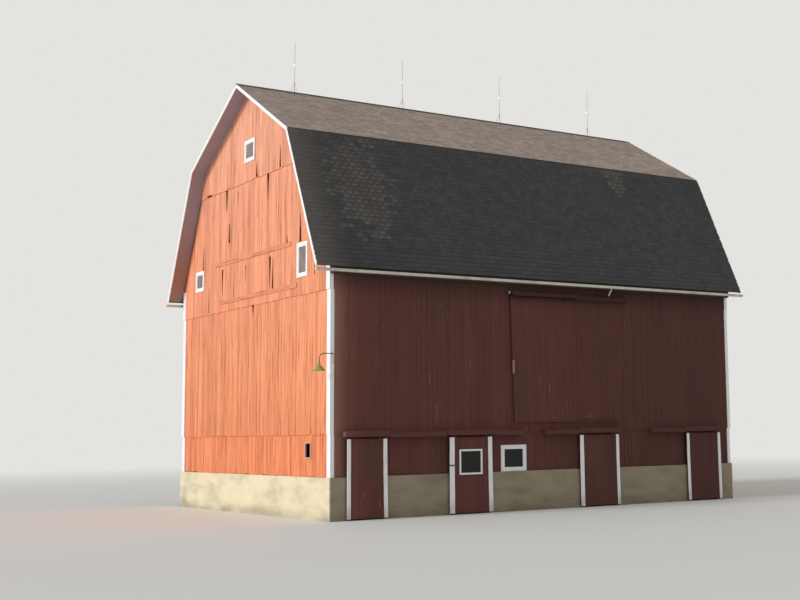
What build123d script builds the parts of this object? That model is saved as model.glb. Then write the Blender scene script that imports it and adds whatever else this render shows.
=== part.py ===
"""A gambrel-roofed timber barn on a low masonry foundation, in millimetres.

+X runs along the ridge from the near gable to the far gable, the doors are on the -Y side,
and +Z is up from the ground. The origin is on the ground under the middle of the barn.
"""

from math import acos, atan2, ceil, cos, pi, sin, sqrt, tan
from build123d import *
import os

os.makedirs("parts", exist_ok=True)

# Overall size of the walls, over the lower siding
barn_length = 14500
barn_width = 11000

# Foundation
foundation_top = 1150
foundation_thickness = 400
foundation_proud = 60

# Siding: vertical boards in tiers, each tier outside the one below and lapping over it
board = 25
lap = 60
stable_joint = 2345
gable_joint = 6265
peak_joint_below_break = 830
siding_above_eave = 270

# Roof
eave_height = 6830
break_height = 10980
ridge_height = 13080
eave_overhang = 250
break_inset = 1760
gable_overhang = 560
roof_thickness = 50
soffit_board = 20
barge_depth = 100
barge_board = 25
cap_width = 150
cap_thickness = 12

# Eave boards and gutter
fascia_board = 25
fascia_inset = 60
soffit_drop = 210
gutter_width = 115
gutter_height = 74
gutter_wall = 4
gutter_drop = 90
gutter_overrun = 30
outlet_from_far_end = 5000
outlet_diameter = 48
outlet_shift = 130
outlet_drop = 230

# Trim
corner_width_gable = 200
corner_width_side = 90
trim_board = 22
girt_height = 125
girt_below_head = 12
girt_below_window = 142
girt_from_near_window = 395
girt_from_far_window = 940
lower_girt_overrun = 370
lower_girt_set_in = 470
mitre_gap = 1

# Mow floor and what carries it
deck_board = 40
joist_depth = 180
joist_width = 60
joist_spacing = 900
beam_width = 180
beam_depth = 200
floor_beam_offset = 1850
post_width = 150
inner_post_spacing = 3500
back_post_spacing = 2400
header_bottom = 2000

# Mow frame: bents of posts, ties and braces, which carry plates, purlins and rafters
bent_post = 180
inner_bent_offset = 2400
tie_width = 150
tie_depth = 200
collar_drop = 280
brace_width = 100
brace_depth = 100
brace_reach = 900
plate_width = 150
plate_depth = 150
plate_notch = 50
purlin_width = 180
purlin_depth = 200
purlin_notch = 60
rafter_width = 50
rafter_depth = 150
rafter_spacing = 610

# Stable doors, counted from the near gable
door_width_1 = 1200
door_width_2 = 1420
door_width_3 = 1490
door_width_4 = 1440
near_pier = 425
second_pier = 2000
fourth_pier = 2810
far_pier = 525
rail_run_1 = 1780
rail_run_2 = 1040
rail_run_3 = 1165
rail_run_4 = 1390
door_height = 2160
door_foot = 40
leaf_thickness = 40
leaf_gap = 25
doorway_lap = 60
edge_width = 100
wide_edge_width = 155
edge_thickness = 25

# Rails, hangers and hoods
rail_bottom = 2218
rail_height = 38
rail_thickness = 6
bracket_width = 30
bracket_height = 22
bracket_spacing = 1000
wheel_groove_radius = 23
wheel_flange_radius = 28
wheel_width = 20
wheel_clearance = 0.3
hanger_inset = 210
hanger_width = 50
hanger_thickness = 6
hanger_drop = 230
axle_radius = 7
axle_sides = 6
hood_rise = 40
hood_fall = 40
hood_reach = 195
hood_face = 120
hood_board = 20
hood_margin = 90
extension_drop = 30

# Upper door
mow_door_width = 2370
mow_door_below_soffit = 335
mow_door_foot = 2595
mow_door_offset = -238
mow_door_gap = 15
mow_doorway_lap = 80
mow_rail_run = 2000
mow_rail_above_leaf = 30
mow_hood_above_leaf = 165

# Windows
casing = 95
front_casing = 120
glass_thickness = 6
casing_lap = 35
gable_window_rise = 1437
near_window_centre = -3780
near_window_width = 690
near_window_height = 985
far_window_centre = 4065
far_window_width = 725
far_window_height = 665
peak_window_width = 790
peak_window_height = 690
peak_window_rise = 1240
front_window_from_door = 390
front_window_width = 890
front_window_height = 760
door_window_width = 767
door_window_height = 710
door_window_foot = 1105
door_window_from_edge = 320
door_casing = 70
vent_centre = -4130
vent_width = 300
vent_height = 380
vent_foot = 1680
vent_casing = 40

# Lightning rods
rod_count = 4
rod_inset = 1395
rod_height = 1650
rod_radius = 8
rod_sides = 8
ball_height = 870
ball_radius = 52
ball_clearance = 0.3
ball_neck_radius = 16
ball_rings = 5
ball_sides = 10
stand_legs = 3
stand_height = 330
stand_spread = 130
stand_foot_rise = 9
stand_radius = 6
stand_sides = 4

# Gooseneck lamp on the near corner
lamp_plate_width = 80
lamp_plate_height = 290
lamp_plate_thickness = 8
lamp_plate_foot = 4180
lamp_reach = 410
lamp_standoff = 75
lamp_arm_below_top = 20
lamp_tube_radius = 13
lamp_tube_sides = 6
lamp_bends = (60, 140)
shade_radius = 175
shade_height = 240
shade_cone_height = 165
shade_neck_radius = 28
shade_wall = 4
shade_foot = 3985

# Places worked out from the sizes above
half_length = barn_length / 2
half_width = barn_width / 2
lower_face = half_width
upper_face = half_width + board
peak_joint = break_height - peak_joint_below_break
front_siding_top = eave_height + siding_above_eave
soffit_height = eave_height - soffit_drop
gutter_top = eave_height - gutter_drop
mow_floor_top = header_bottom + beam_depth + joist_depth + deck_board
lower_slope = atan2(break_height - eave_height, break_inset + eave_overhang)
upper_slope = atan2(ridge_height - break_height, half_width - break_inset)
roof_end = half_length + gable_overhang
fascia_outer = half_width + eave_overhang - fascia_inset
fascia_inner = fascia_outer - fascia_board


def roof_line(depth):
    """Eave, break and ridge on the -Y side, at a depth under the roof's outer surface."""
    eave_y = -(half_width + eave_overhang)
    break_y = -(half_width - break_inset)
    middle = (lower_slope + upper_slope) / 2
    mitre = depth / cos((lower_slope - upper_slope) / 2)
    return (
        (eave_y + depth * sin(lower_slope), eave_height - depth * cos(lower_slope)),
        (break_y + mitre * sin(middle), break_height - mitre * cos(middle)),
        (0, ridge_height - depth / cos(upper_slope)),
    )


def slope_height(y, depth):
    """Height of the lower slope on the -Y side at a place and a depth under its outer surface."""
    eave_y, eave_z = roof_line(depth)[0]
    return eave_z + (y - eave_y) * tan(lower_slope)


def wall_reach(z):
    """Half the width between the roof's undersides at a height on its lower slopes."""
    eave_y, eave_z = roof_line(roof_thickness)[0]
    return -eave_y - (z - eave_z) / tan(lower_slope)


def block(x0, x1, y0, y1, z0, z1, mode=Mode.ADD):
    """A rectangular block between two corners."""
    with Locations(((x0 + x1) / 2, (y0 + y1) / 2, (z0 + z1) / 2)):
        Box(abs(x1 - x0), abs(y1 - y0), abs(z1 - z0), mode=mode)


def prism(points, x0, x1, mode=Mode.ADD):
    """A profile in the Y-Z plane, carried along X."""
    with BuildSketch(Plane.YZ.offset(x0)) as profile:
        with BuildLine():
            Polyline(*points, close=True)
        make_face()
    extrude(profile.sketch, amount=x1 - x0, mode=mode)


def bar(start, end, radius, sides=None):
    """A bar from one point to another, round or with a number of flat sides."""
    axis = Vector(*end) - Vector(*start)
    with BuildSketch(Plane(origin=start, z_dir=axis)) as section:
        if sides:
            RegularPolygon(radius, sides)
        else:
            Circle(radius)
    extrude(section.sketch, amount=axis.length)


def other_side(points):
    """The same profile on the +Y side."""
    return [(-y, z) for y, z in points]


def places(first, last, spacing):
    """Evenly spaced places from first to last, no further apart than the spacing."""
    bays = max(1, ceil((last - first) / spacing))
    return [first + (last - first) * bay / bays for bay in range(bays + 1)]


def save(piece, name):
    """Label a finished piece and write it."""
    piece.part.label = name
    export_step(piece.part, f"parts/{name}.step")


# Stable doors: left edge, width and direction of travel of each leaf
door_2_start = near_pier + door_width_1 + second_pier
door_4_start = barn_length - far_pier - door_width_4
door_3_start = door_4_start - fourth_pier - door_width_3
doors = [
    (near_pier - half_length, door_width_1, 1, rail_run_1),
    (door_2_start - half_length, door_width_2, 1, rail_run_2),
    (door_3_start - half_length, door_width_3, -1, rail_run_3),
    (door_4_start - half_length, door_width_4, -1, rail_run_4),
]
doorways = [(start + doorway_lap, start + width - doorway_lap) for start, width, _, _ in doors]
foundation_face = half_width + foundation_proud
leaf_back = -(foundation_face + leaf_gap)
leaf_face = leaf_back - leaf_thickness

# Foundation, in lengths between the doorways on the front
foundation_end = half_length + foundation_proud
foundation_inner = foundation_face - foundation_thickness
front_starts = [-foundation_end] + [right for _, right in doorways]
front_ends = [left for left, _ in doorways] + [foundation_end]

with BuildPart() as foundation_front:
    for start, end in zip(front_starts, front_ends):
        block(start, end, -foundation_face, -foundation_inner, 0, foundation_top)
save(foundation_front, "foundation_front")

with BuildPart() as foundation_back:
    block(-foundation_end, foundation_end, foundation_inner, foundation_face, 0, foundation_top)
save(foundation_back, "foundation_back")

with BuildPart() as foundation_gables:
    for side in (-1, 1):
        outer = side * foundation_end
        inner = side * (foundation_end - foundation_thickness)
        block(inner, outer, -foundation_inner, foundation_inner, 0, foundation_top)
save(foundation_gables, "foundation_gables")

# Lower siding
siding_starts = [-half_length] + [right for _, right in doorways]
siding_ends = [left for left, _ in doorways] + [half_length]
front_window_left = doors[1][0] + door_width_2 + front_window_from_door
front_window = (front_window_left + front_window_width / 2, foundation_top + front_window_height / 2)

with BuildPart() as front_lower_siding:
    for start, end in zip(siding_starts, siding_ends):
        block(start, end, -lower_face, -lower_face + board, foundation_top, header_bottom)
    hole_width = front_window_width / 2 - front_casing + casing_lap
    hole_height = front_window_height / 2 - front_casing + casing_lap
    block(
        front_window[0] - hole_width, front_window[0] + hole_width,
        -lower_face, -lower_face + board,
        front_window[1] - hole_height, front_window[1] + hole_height,
        mode=Mode.SUBTRACT,
    )
save(front_lower_siding, "front_lower_siding")

with BuildPart() as front_header_siding:
    block(-half_length, half_length, -lower_face, -lower_face + board, header_bottom, stable_joint)
save(front_header_siding, "front_header_siding")

with BuildPart() as back_lower_siding:
    block(-half_length, half_length, lower_face - board, lower_face, foundation_top, stable_joint)
save(back_lower_siding, "back_lower_siding")

with BuildPart() as gable_lower_siding:
    for side in (-1, 1):
        outer = side * half_length
        inner = side * (half_length - board)
        block(inner, outer, board - lower_face, lower_face - board, foundation_top, stable_joint)
    block(
        -half_length, board - half_length,
        vent_centre - vent_width / 2, vent_centre + vent_width / 2,
        vent_foot, vent_foot + vent_height,
        mode=Mode.SUBTRACT,
    )
save(gable_lower_siding, "gable_lower_siding")

# Upper siding on the long sides
mow_door_left = mow_door_offset - mow_door_width / 2
mow_door_right = mow_door_left + mow_door_width
mow_door_top = soffit_height - mow_door_below_soffit
upper_end = half_length + board

with BuildPart() as front_upper_siding:
    block(-upper_end, upper_end, -upper_face, -lower_face, stable_joint - lap, front_siding_top)
    block(
        mow_door_left + mow_doorway_lap, mow_door_right - mow_doorway_lap,
        -upper_face, -lower_face,
        mow_door_foot + mow_doorway_lap, mow_door_top - mow_doorway_lap,
        mode=Mode.SUBTRACT,
    )
save(front_upper_siding, "front_upper_siding")

with BuildPart() as back_upper_siding:
    block(-upper_end, upper_end, lower_face, upper_face, stable_joint - lap, front_siding_top)
save(back_upper_siding, "back_upper_siding")

# Gable siding in three more tiers
eave_in, break_in, ridge_in = roof_line(roof_thickness)
wall_top_reach = wall_reach(peak_joint)
corner_top = slope_height(-upper_face, roof_thickness)
middle_profile = [(-lower_face, stable_joint - lap), (lower_face, stable_joint - lap),
                  (lower_face, gable_joint), (-lower_face, gable_joint)]
upper_profile = [(-upper_face, gable_joint - lap), (upper_face, gable_joint - lap),
                 (upper_face, corner_top), (wall_top_reach, peak_joint),
                 (-wall_top_reach, peak_joint), (-upper_face, corner_top)]
peak_foot_reach = wall_reach(peak_joint - lap)
peak_profile = [(-peak_foot_reach, peak_joint - lap), (peak_foot_reach, peak_joint - lap),
                (-break_in[0], break_in[1]), ridge_in, break_in]

# Gable windows: centre, width and height of each frame, with the tier that it is cut through
gable_window_head = gable_joint + gable_window_rise
peak_window_head = peak_joint + peak_window_rise
near_window = (near_window_centre, gable_window_head - near_window_height / 2,
               near_window_width, near_window_height)
far_window = (far_window_centre, gable_window_head - far_window_height / 2,
              far_window_width, far_window_height)
peak_window = (0, peak_window_head - peak_window_height / 2, peak_window_width, peak_window_height)
gable_windows = [(near_window, 2), (far_window, 2), (peak_window, 3)]


def gable_tier(profile, tier, windows):
    """One tier of siding on both gables, with its windows cut through."""
    for side in (-1, 1):
        inner = side * (half_length + (tier - 1) * board)
        outer = side * (half_length + tier * board)
        prism(profile, min(inner, outer), max(inner, outer))
        for centre_y, centre_z, width, height in windows:
            reach = width / 2 - casing + casing_lap
            rise = height / 2 - casing + casing_lap
            block(inner, outer, centre_y - reach, centre_y + reach,
                  centre_z - rise, centre_z + rise, mode=Mode.SUBTRACT)


with BuildPart() as gable_middle_siding:
    gable_tier(middle_profile, 1, [])
save(gable_middle_siding, "gable_middle_siding")

with BuildPart() as gable_upper_siding:
    gable_tier(upper_profile, 2, [near_window, far_window])
save(gable_upper_siding, "gable_upper_siding")

with BuildPart() as gable_peak_siding:
    gable_tier(peak_profile, 3, [peak_window])
save(gable_peak_siding, "gable_peak_siding")

# Roof slopes, mitred where they meet
eave_out, break_out, ridge_out = roof_line(0)
lower_slab = [eave_out, break_out, break_in, eave_in]
upper_slab = [break_out, ridge_out, ridge_in, break_in]
slab_end = roof_end - barge_board
for name, slab in (("lower", lower_slab), ("upper", upper_slab)):
    for side, profile in (("front", slab), ("back", other_side(slab))):
        with BuildPart() as roof_slope:
            prism(profile, -slab_end, slab_end)
        save(roof_slope, f"roof_{side}_{name}")

cap_rise = cap_thickness / cos(upper_slope)
cap_drop = cap_width * sin(upper_slope)
cap_reach = cap_width * cos(upper_slope)
with BuildPart() as ridge_cap:
    prism(
        [(-cap_reach, ridge_height - cap_drop), ridge_out, (cap_reach, ridge_height - cap_drop),
         (cap_reach, ridge_height - cap_drop + cap_rise), (0, ridge_height + cap_rise),
         (-cap_reach, ridge_height - cap_drop + cap_rise)],
        -roof_end, roof_end,
    )
save(ridge_cap, "ridge_cap")

# Barge boards and gable soffits: four straight boards on each gable, mitred at break and ridge


def raked_profiles(outer_depth, inner_depth, foot=None):
    """Four profiles along the gambrel, between two depths, cut plumb at the foot or square without one."""
    eave_a, break_a, ridge_a = roof_line(outer_depth)
    eave_b, break_b, ridge_b = roof_line(inner_depth)
    if foot is not None:
        eave_a = (-foot, slope_height(-foot, outer_depth))
        eave_b = (-foot, slope_height(-foot, inner_depth))
    gap_y = mitre_gap * cos(upper_slope)
    gap_z = mitre_gap * sin(upper_slope)
    lower = [eave_a, break_a, break_b, eave_b]
    upper = [(break_a[0] + gap_y, break_a[1] + gap_z), (ridge_a[0] - gap_y, ridge_a[1] - gap_z),
             (ridge_b[0] - gap_y, ridge_b[1] - gap_z), (break_b[0] + gap_y, break_b[1] + gap_z)]
    return lower, other_side(lower), upper, other_side(upper)


with BuildPart() as barge_boards:
    for side in (-1, 1):
        for profile in raked_profiles(0, barge_depth):
            prism(profile, *sorted((side * slab_end, side * roof_end)))
save(barge_boards, "barge_boards")

with BuildPart() as gable_soffits:
    for side in (-1, 1):
        wall = half_length + 3 * board
        soffit_depth = roof_thickness + soffit_board
        for profile in raked_profiles(roof_thickness, soffit_depth, fascia_inner):
            prism(profile, *sorted((side * wall, side * slab_end)))
save(gable_soffits, "gable_soffits")

# Eave fascias, soffits and gutters
fascia_top = slope_height(-fascia_outer, roof_thickness)
with BuildPart() as eave_fascias:
    for side in (-1, 1):
        block(-upper_end, upper_end, side * fascia_outer, side * fascia_inner, soffit_height, fascia_top)
save(eave_fascias, "eave_fascias")

# Each eave is boxed by a soffit board, with a return board over it that closes each end
return_foot = soffit_height + soffit_board + mitre_gap
return_board = [(-upper_face, return_foot), (-fascia_inner, return_foot),
                (-fascia_inner, slope_height(-fascia_inner, roof_thickness)), (-upper_face, corner_top)]
with BuildPart() as eave_soffits:
    for side in (-1, 1):
        block(-upper_end, upper_end, side * upper_face, side * fascia_inner,
              soffit_height, soffit_height + soffit_board)
    for profile in (return_board, other_side(return_board)):
        prism(profile, -upper_end, soffit_board - upper_end)
        prism(profile, upper_end - soffit_board, upper_end)
save(eave_soffits, "eave_soffits")

gutter_outer = fascia_outer + gutter_width
gutter_end = roof_end + gutter_overrun
gutter_foot = gutter_top - gutter_height
outlet_x = half_length - outlet_from_far_end
with BuildPart() as gutters:
    for side in (-1, 1):
        block(-gutter_end, gutter_end, side * fascia_outer, side * gutter_outer, gutter_foot, gutter_top)
        block(gutter_wall - gutter_end, gutter_end - gutter_wall,
              side * (fascia_outer + gutter_wall), side * (gutter_outer - gutter_wall),
              gutter_foot + gutter_wall, gutter_top, mode=Mode.SUBTRACT)
    outlet_y = -(fascia_outer + gutter_width / 2)
    bar((outlet_x, outlet_y, gutter_foot + gutter_wall / 2),
        (outlet_x - outlet_shift, outlet_y, gutter_foot - outlet_drop), outlet_diameter / 2)
save(gutters, "gutters")

# Corner boards, each corner with a gable board and a side board on every tier: the tier, its wall face,
# its foot, and the tops of the gable board, which runs up to the roof at the last, and of the side board
corner_board_top = slope_height(-upper_face - trim_board, roof_thickness)
corner_tiers = [
    (0, lower_face, foundation_top, stable_joint - lap, stable_joint - lap),
    (1, upper_face, stable_joint - lap, gable_joint - lap, gable_joint - lap),
    (2, upper_face, gable_joint - lap, corner_board_top, soffit_height),
]
with BuildPart() as corner_boards:
    for end in (-1, 1):
        for side in (-1, 1):
            for tier, wall, foot, gable_top, side_top in corner_tiers:
                face = end * (half_length + tier * board)
                block(face, face + end * trim_board, side * (wall + trim_board),
                      side * (wall - corner_width_gable), foot, gable_top - mitre_gap)
                block(face - end * mitre_gap, face - end * corner_width_side, side * wall,
                      side * (wall + trim_board), foot, side_top)
save(corner_boards, "corner_boards")

# Girt boards across the gable
tier_face = half_length + 2 * board
upper_girt_left = near_window_centre + near_window_width / 2 + girt_from_near_window
upper_girt_right = far_window_centre - far_window_width / 2 - girt_from_far_window
lower_girt_left = upper_girt_left - lower_girt_overrun
lower_girt_right = upper_girt_right - lower_girt_set_in
upper_girt_bottom = gable_window_head - girt_below_head
lower_girt_bottom = gable_window_head - near_window_height - girt_below_window - girt_height
with BuildPart() as gable_girts:
    for side in (-1, 1):
        outer = side * (tier_face + trim_board)
        inner = side * tier_face
        block(inner, outer, upper_girt_left, upper_girt_right,
              upper_girt_bottom, upper_girt_bottom + girt_height)
        block(inner, outer, lower_girt_left, lower_girt_right,
              lower_girt_bottom, lower_girt_bottom + girt_height)
save(gable_girts, "gable_girts")

# Window frames and glass


def gable_frame(side, tier, window, margin):
    """A casing that lies on the gable siding round a window."""
    centre_y, centre_z, width, height = window
    inner = side * (half_length + tier * board)
    outer = inner + side * board
    block(inner, outer, centre_y - width / 2, centre_y + width / 2,
          centre_z - height / 2, centre_z + height / 2)
    block(inner, outer, centre_y - width / 2 + margin, centre_y + width / 2 - margin,
          centre_z - height / 2 + margin, centre_z + height / 2 - margin, mode=Mode.SUBTRACT)


def gable_pane(side, tier, window):
    """A sheet of glass in the siding, behind its casing."""
    centre_y, centre_z, width, height = window
    outer = side * (half_length + tier * board)
    inner = outer - side * glass_thickness
    reach = width / 2 - casing + casing_lap
    rise = height / 2 - casing + casing_lap
    block(inner, outer, centre_y - reach, centre_y + reach, centre_z - rise, centre_z + rise)


vent = (vent_centre, vent_foot + vent_height / 2,
        vent_width + 2 * vent_casing, vent_height + 2 * vent_casing)
with BuildPart() as window_frames:
    for side in (-1, 1):
        for window, tier in gable_windows:
            gable_frame(side, tier, window, casing)
    gable_frame(-1, 0, vent, vent_casing)
    centre_x, centre_z = front_window
    block(centre_x - front_window_width / 2, centre_x + front_window_width / 2,
          -lower_face, -lower_face - board,
          centre_z - front_window_height / 2, centre_z + front_window_height / 2)
    block(centre_x - front_window_width / 2 + front_casing, centre_x + front_window_width / 2 - front_casing,
          -lower_face, -lower_face - board,
          centre_z - front_window_height / 2 + front_casing,
          centre_z + front_window_height / 2 - front_casing, mode=Mode.SUBTRACT)
save(window_frames, "window_frames")

with BuildPart() as window_glass:
    for side in (-1, 1):
        for window, tier in gable_windows:
            gable_pane(side, tier, window)
    centre_x, centre_z = front_window
    block(centre_x - hole_width, centre_x + hole_width,
          -lower_face, -lower_face + glass_thickness,
          centre_z - hole_height, centre_z + hole_height)
save(window_glass, "window_glass")

# Mow floor on joists, beams and posts
frame_end = half_length - board
frame_side = half_width - board
joist_foot = header_bottom + beam_depth
with BuildPart() as mow_floor:
    block(-frame_end, frame_end, -frame_side, frame_side, mow_floor_top - deck_board, mow_floor_top)
save(mow_floor, "mow_floor")

with BuildPart() as floor_joists:
    first = -frame_end + joist_width / 2
    for x in places(first, -first, joist_spacing):
        block(x - joist_width / 2, x + joist_width / 2, -frame_side, frame_side,
              joist_foot, joist_foot + joist_depth)
save(floor_joists, "floor_joists")

with BuildPart() as floor_beams:
    outer_beam = frame_side - beam_width / 2
    for y in (-outer_beam, -floor_beam_offset, floor_beam_offset, outer_beam):
        block(-frame_end, frame_end, y - beam_width / 2, y + beam_width / 2,
              header_bottom, joist_foot)
save(floor_beams, "floor_beams")

with BuildPart() as stable_posts:
    for left, right in doorways:
        block(left - post_width, left, -frame_side, post_width - frame_side, foundation_top, header_bottom)
        block(right, right + post_width, -frame_side, post_width - frame_side,
              foundation_top, header_bottom)
    first = -frame_end + post_width / 2
    for x in places(first, -first, back_post_spacing):
        block(x - post_width / 2, x + post_width / 2, frame_side - post_width, frame_side,
              foundation_top, header_bottom)
    for x in places(-frame_end + inner_post_spacing, frame_end - inner_post_spacing, inner_post_spacing):
        for y in (-floor_beam_offset, floor_beam_offset):
            block(x - post_width / 2, x + post_width / 2, y - post_width / 2, y + post_width / 2,
                  0, header_bottom)
save(stable_posts, "stable_posts")

# Plates on the long walls and purlins under the break, both let into the rafters
plate_top = slope_height(-lower_face, roof_thickness + rafter_depth - plate_notch)
plate_foot = plate_top - plate_depth
purlin_outer, purlin_top = roof_line(roof_thickness + rafter_depth - purlin_notch)[1]
purlin_inner = purlin_outer + purlin_width
purlin_foot = purlin_top - purlin_depth
long_timbers = [
    (-lower_face, plate_width - lower_face, plate_foot, plate_top),
    (purlin_outer, purlin_inner, purlin_foot, purlin_top),
]


def lay_long_timbers(mode=Mode.ADD):
    """The plates and purlins of both sides, over the length of the frame."""
    for outer, inner, foot, top in long_timbers:
        for side in (-1, 1):
            block(-half_length, half_length, side * outer, side * inner, foot, top, mode=mode)


with BuildPart() as purlins:
    lay_long_timbers()
save(purlins, "purlins")

with BuildPart() as rafters:
    first = rafter_width / 2 - half_length
    with BuildSketch(*[Plane.YZ.offset(x - rafter_width / 2) for x in places(first, -first, rafter_spacing)]):
        for profile in raked_profiles(roof_thickness, roof_thickness + rafter_depth, lower_face):
            with BuildLine():
                Polyline(*profile, close=True)
            make_face()
    extrude(amount=rafter_width)
    lay_long_timbers(mode=Mode.SUBTRACT)
save(rafters, "rafters")

# Bents: posts under the plates and purlins, ties between them and braces in their corners
outer_bent_offset = half_length - bent_post / 2
bent_places = (-outer_bent_offset, -inner_bent_offset, inner_bent_offset, outer_bent_offset)
wall_post_inner = bent_post - lower_face
purlin_post_inner = purlin_outer + bent_post
tie_foot = plate_foot - tie_depth
collar_top = purlin_foot - collar_drop
collar_foot = collar_top - tie_depth

with BuildPart() as bent_posts:
    for x in bent_places:
        for side in (-1, 1):
            block(x - bent_post / 2, x + bent_post / 2, side * -lower_face, side * wall_post_inner,
                  mow_floor_top, plate_foot)
            block(x - bent_post / 2, x + bent_post / 2, side * purlin_outer, side * purlin_post_inner,
                  mow_floor_top, purlin_foot)
save(bent_posts, "bent_posts")

with BuildPart() as bent_ties:
    for x in bent_places:
        for side in (-1, 1):
            block(x - tie_width / 2, x + tie_width / 2, side * wall_post_inner, side * purlin_outer,
                  tie_foot, plate_foot)
        block(x - tie_width / 2, x + tie_width / 2, purlin_post_inner, -purlin_post_inner,
              collar_foot, collar_top)
save(bent_ties, "bent_ties")

brace_cut = brace_depth * sqrt(2)
with BuildPart() as bent_braces:
    for post_face, beam_foot in ((wall_post_inner, tie_foot), (purlin_post_inner, collar_foot)):
        brace = [(post_face, beam_foot - brace_reach), (post_face, beam_foot - brace_reach + brace_cut),
                 (post_face + brace_reach - brace_cut, beam_foot), (post_face + brace_reach, beam_foot)]
        for x in bent_places:
            for profile in (brace, other_side(brace)):
                prism(profile, x - brace_width / 2, x + brace_width / 2)
save(bent_braces, "bent_braces")

# Upper door, hung outside its doorway
mow_leaf_back = -(upper_face + mow_door_gap)
with BuildPart() as mow_door:
    block(mow_door_left, mow_door_right, mow_leaf_back, mow_leaf_back - leaf_thickness,
          mow_door_foot, mow_door_top)
save(mow_door, "mow_door")

# Hoods over the rails
hood_wall_height = stable_joint + hood_rise


def hood(x0, x1, wall_z):
    """A sloping top board with a face board hanging from its outer edge."""
    wall = -upper_face
    outer = wall - hood_reach
    face_foot = wall_z - hood_fall - hood_face
    prism(
        [(wall, wall_z), (outer, wall_z - hood_fall), (outer, face_foot),
         (outer + hood_board, face_foot), (outer + hood_board, wall_z - hood_fall - hood_board),
         (wall, wall_z - hood_board)],
        x0, x1,
    )


with BuildPart() as door_hoods:
    for start, width, way, run in doors:
        left = start - hood_margin
        right = start + width + hood_margin
        hood(left, right, hood_wall_height)
        if way > 0:
            hood(right + mitre_gap, right + mitre_gap + run, hood_wall_height - extension_drop)
        else:
            hood(left - mitre_gap - run, left - mitre_gap, hood_wall_height - extension_drop)
    mow_hood_height = mow_door_top + mow_hood_above_leaf
    mow_hood_end = mow_door_right + hood_margin / 2
    hood(mow_door_left - hood_margin / 2, mow_hood_end, mow_hood_height)
    hood(mow_hood_end + mitre_gap, mow_door_right + mow_rail_run, mow_hood_height - extension_drop)
save(door_hoods, "door_hoods")

# Rails on brackets
rail_y = leaf_back - leaf_thickness / 2
mow_rail_y = mow_leaf_back - leaf_thickness / 2
mow_rail_bottom = mow_door_top + mow_rail_above_leaf


def rail(left, right, y, foot, wall):
    """A flat bar on edge, held off the wall by brackets."""
    block(left, right, y - rail_thickness / 2, y + rail_thickness / 2, foot, foot + rail_height)
    for x in places(left + bracket_width, right - bracket_width, bracket_spacing):
        block(x - bracket_width / 2, x + bracket_width / 2, y + rail_thickness / 2, wall,
              foot, foot + bracket_height)


with BuildPart() as door_rails:
    for start, width, way, run in doors:
        end = start + width
        left = start if way > 0 else start - hood_margin - run
        right = end + hood_margin + run if way > 0 else end
        rail(left, right, rail_y, rail_bottom, -lower_face)
    rail(mow_door_left, mow_door_right + mow_rail_run, mow_rail_y, mow_rail_bottom, -upper_face)
save(door_rails, "door_rails")

# Leaves, their edge boards and hangers


def hanger(x, face, rail_centre, leaf_top, rail_foot):
    """A strap on the face of a leaf that carries a grooved wheel on the rail."""
    groove_depth = wheel_flange_radius - wheel_groove_radius
    bearing_radius = wheel_groove_radius + groove_depth * rail_thickness / wheel_width
    wheel_centre = rail_foot + rail_height + bearing_radius + wheel_clearance
    block(x - hanger_width / 2, x + hanger_width / 2, face - hanger_thickness, face,
          leaf_top - hanger_drop, wheel_centre + 2 * axle_radius)
    bar((x, face, wheel_centre), (x, rail_centre, wheel_centre), axle_radius, axle_sides)
    half_wheel = wheel_width / 2
    with BuildSketch(Plane((x, rail_centre, wheel_centre), x_dir=(0, 1, 0), z_dir=(1, 0, 0))) as section:
        with BuildLine():
            Polyline(
                (-half_wheel, 0), (-half_wheel, wheel_flange_radius), (0, wheel_groove_radius),
                (half_wheel, wheel_flange_radius), (half_wheel, 0), close=True,
            )
        make_face()
    revolve(section.sketch, axis=Axis((x, rail_centre, wheel_centre), (0, 1, 0)))


with BuildPart() as mow_door_hangers:
    for x in (mow_door_left + 2 * hanger_inset, mow_door_right - 2 * hanger_inset):
        hanger(x, mow_leaf_back - leaf_thickness, mow_rail_y, mow_door_top, mow_rail_bottom)
save(mow_door_hangers, "mow_door_hangers")

for number, (start, width, way, run) in enumerate(doors, start=1):
    end = start + width
    with BuildPart() as leaf:
        block(start, end, leaf_back, leaf_face, door_foot, door_height)
        if number == 2:
            window_left = start + door_window_from_edge
            pane_lap = door_casing - casing_lap
            block(window_left + pane_lap, window_left + door_window_width - pane_lap, leaf_back, leaf_face,
                  door_window_foot + pane_lap, door_window_foot + door_window_height - pane_lap,
                  mode=Mode.SUBTRACT)
    save(leaf, f"stable_door_{number}")

    first_width = wide_edge_width if number == 2 else edge_width
    with BuildPart() as edges:
        block(start, start + first_width, leaf_face, leaf_face - edge_thickness, door_foot, door_height)
        block(end - edge_width, end, leaf_face, leaf_face - edge_thickness, door_foot, door_height)
    save(edges, f"door_{number}_edge_boards")

    with BuildPart() as hangers:
        for x in (start + hanger_inset, end - hanger_inset):
            hanger(x, leaf_face, rail_y, door_height, rail_bottom)
    save(hangers, f"door_{number}_hangers")

door_window_left = doors[1][0] + door_window_from_edge
door_window_right = door_window_left + door_window_width
door_window_top = door_window_foot + door_window_height
with BuildPart() as door_window_frame:
    block(door_window_left, door_window_right, leaf_face, leaf_face - trim_board,
          door_window_foot, door_window_top)
    block(door_window_left + door_casing, door_window_right - door_casing,
          leaf_face, leaf_face - trim_board,
          door_window_foot + door_casing, door_window_top - door_casing, mode=Mode.SUBTRACT)
save(door_window_frame, "door_2_window_frame")

with BuildPart() as door_window_glass:
    pane_lap = door_casing - casing_lap
    block(door_window_left + pane_lap, door_window_right - pane_lap,
          leaf_face, leaf_face + glass_thickness,
          door_window_foot + pane_lap, door_window_top - pane_lap)
save(door_window_glass, "door_2_window_glass")

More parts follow.
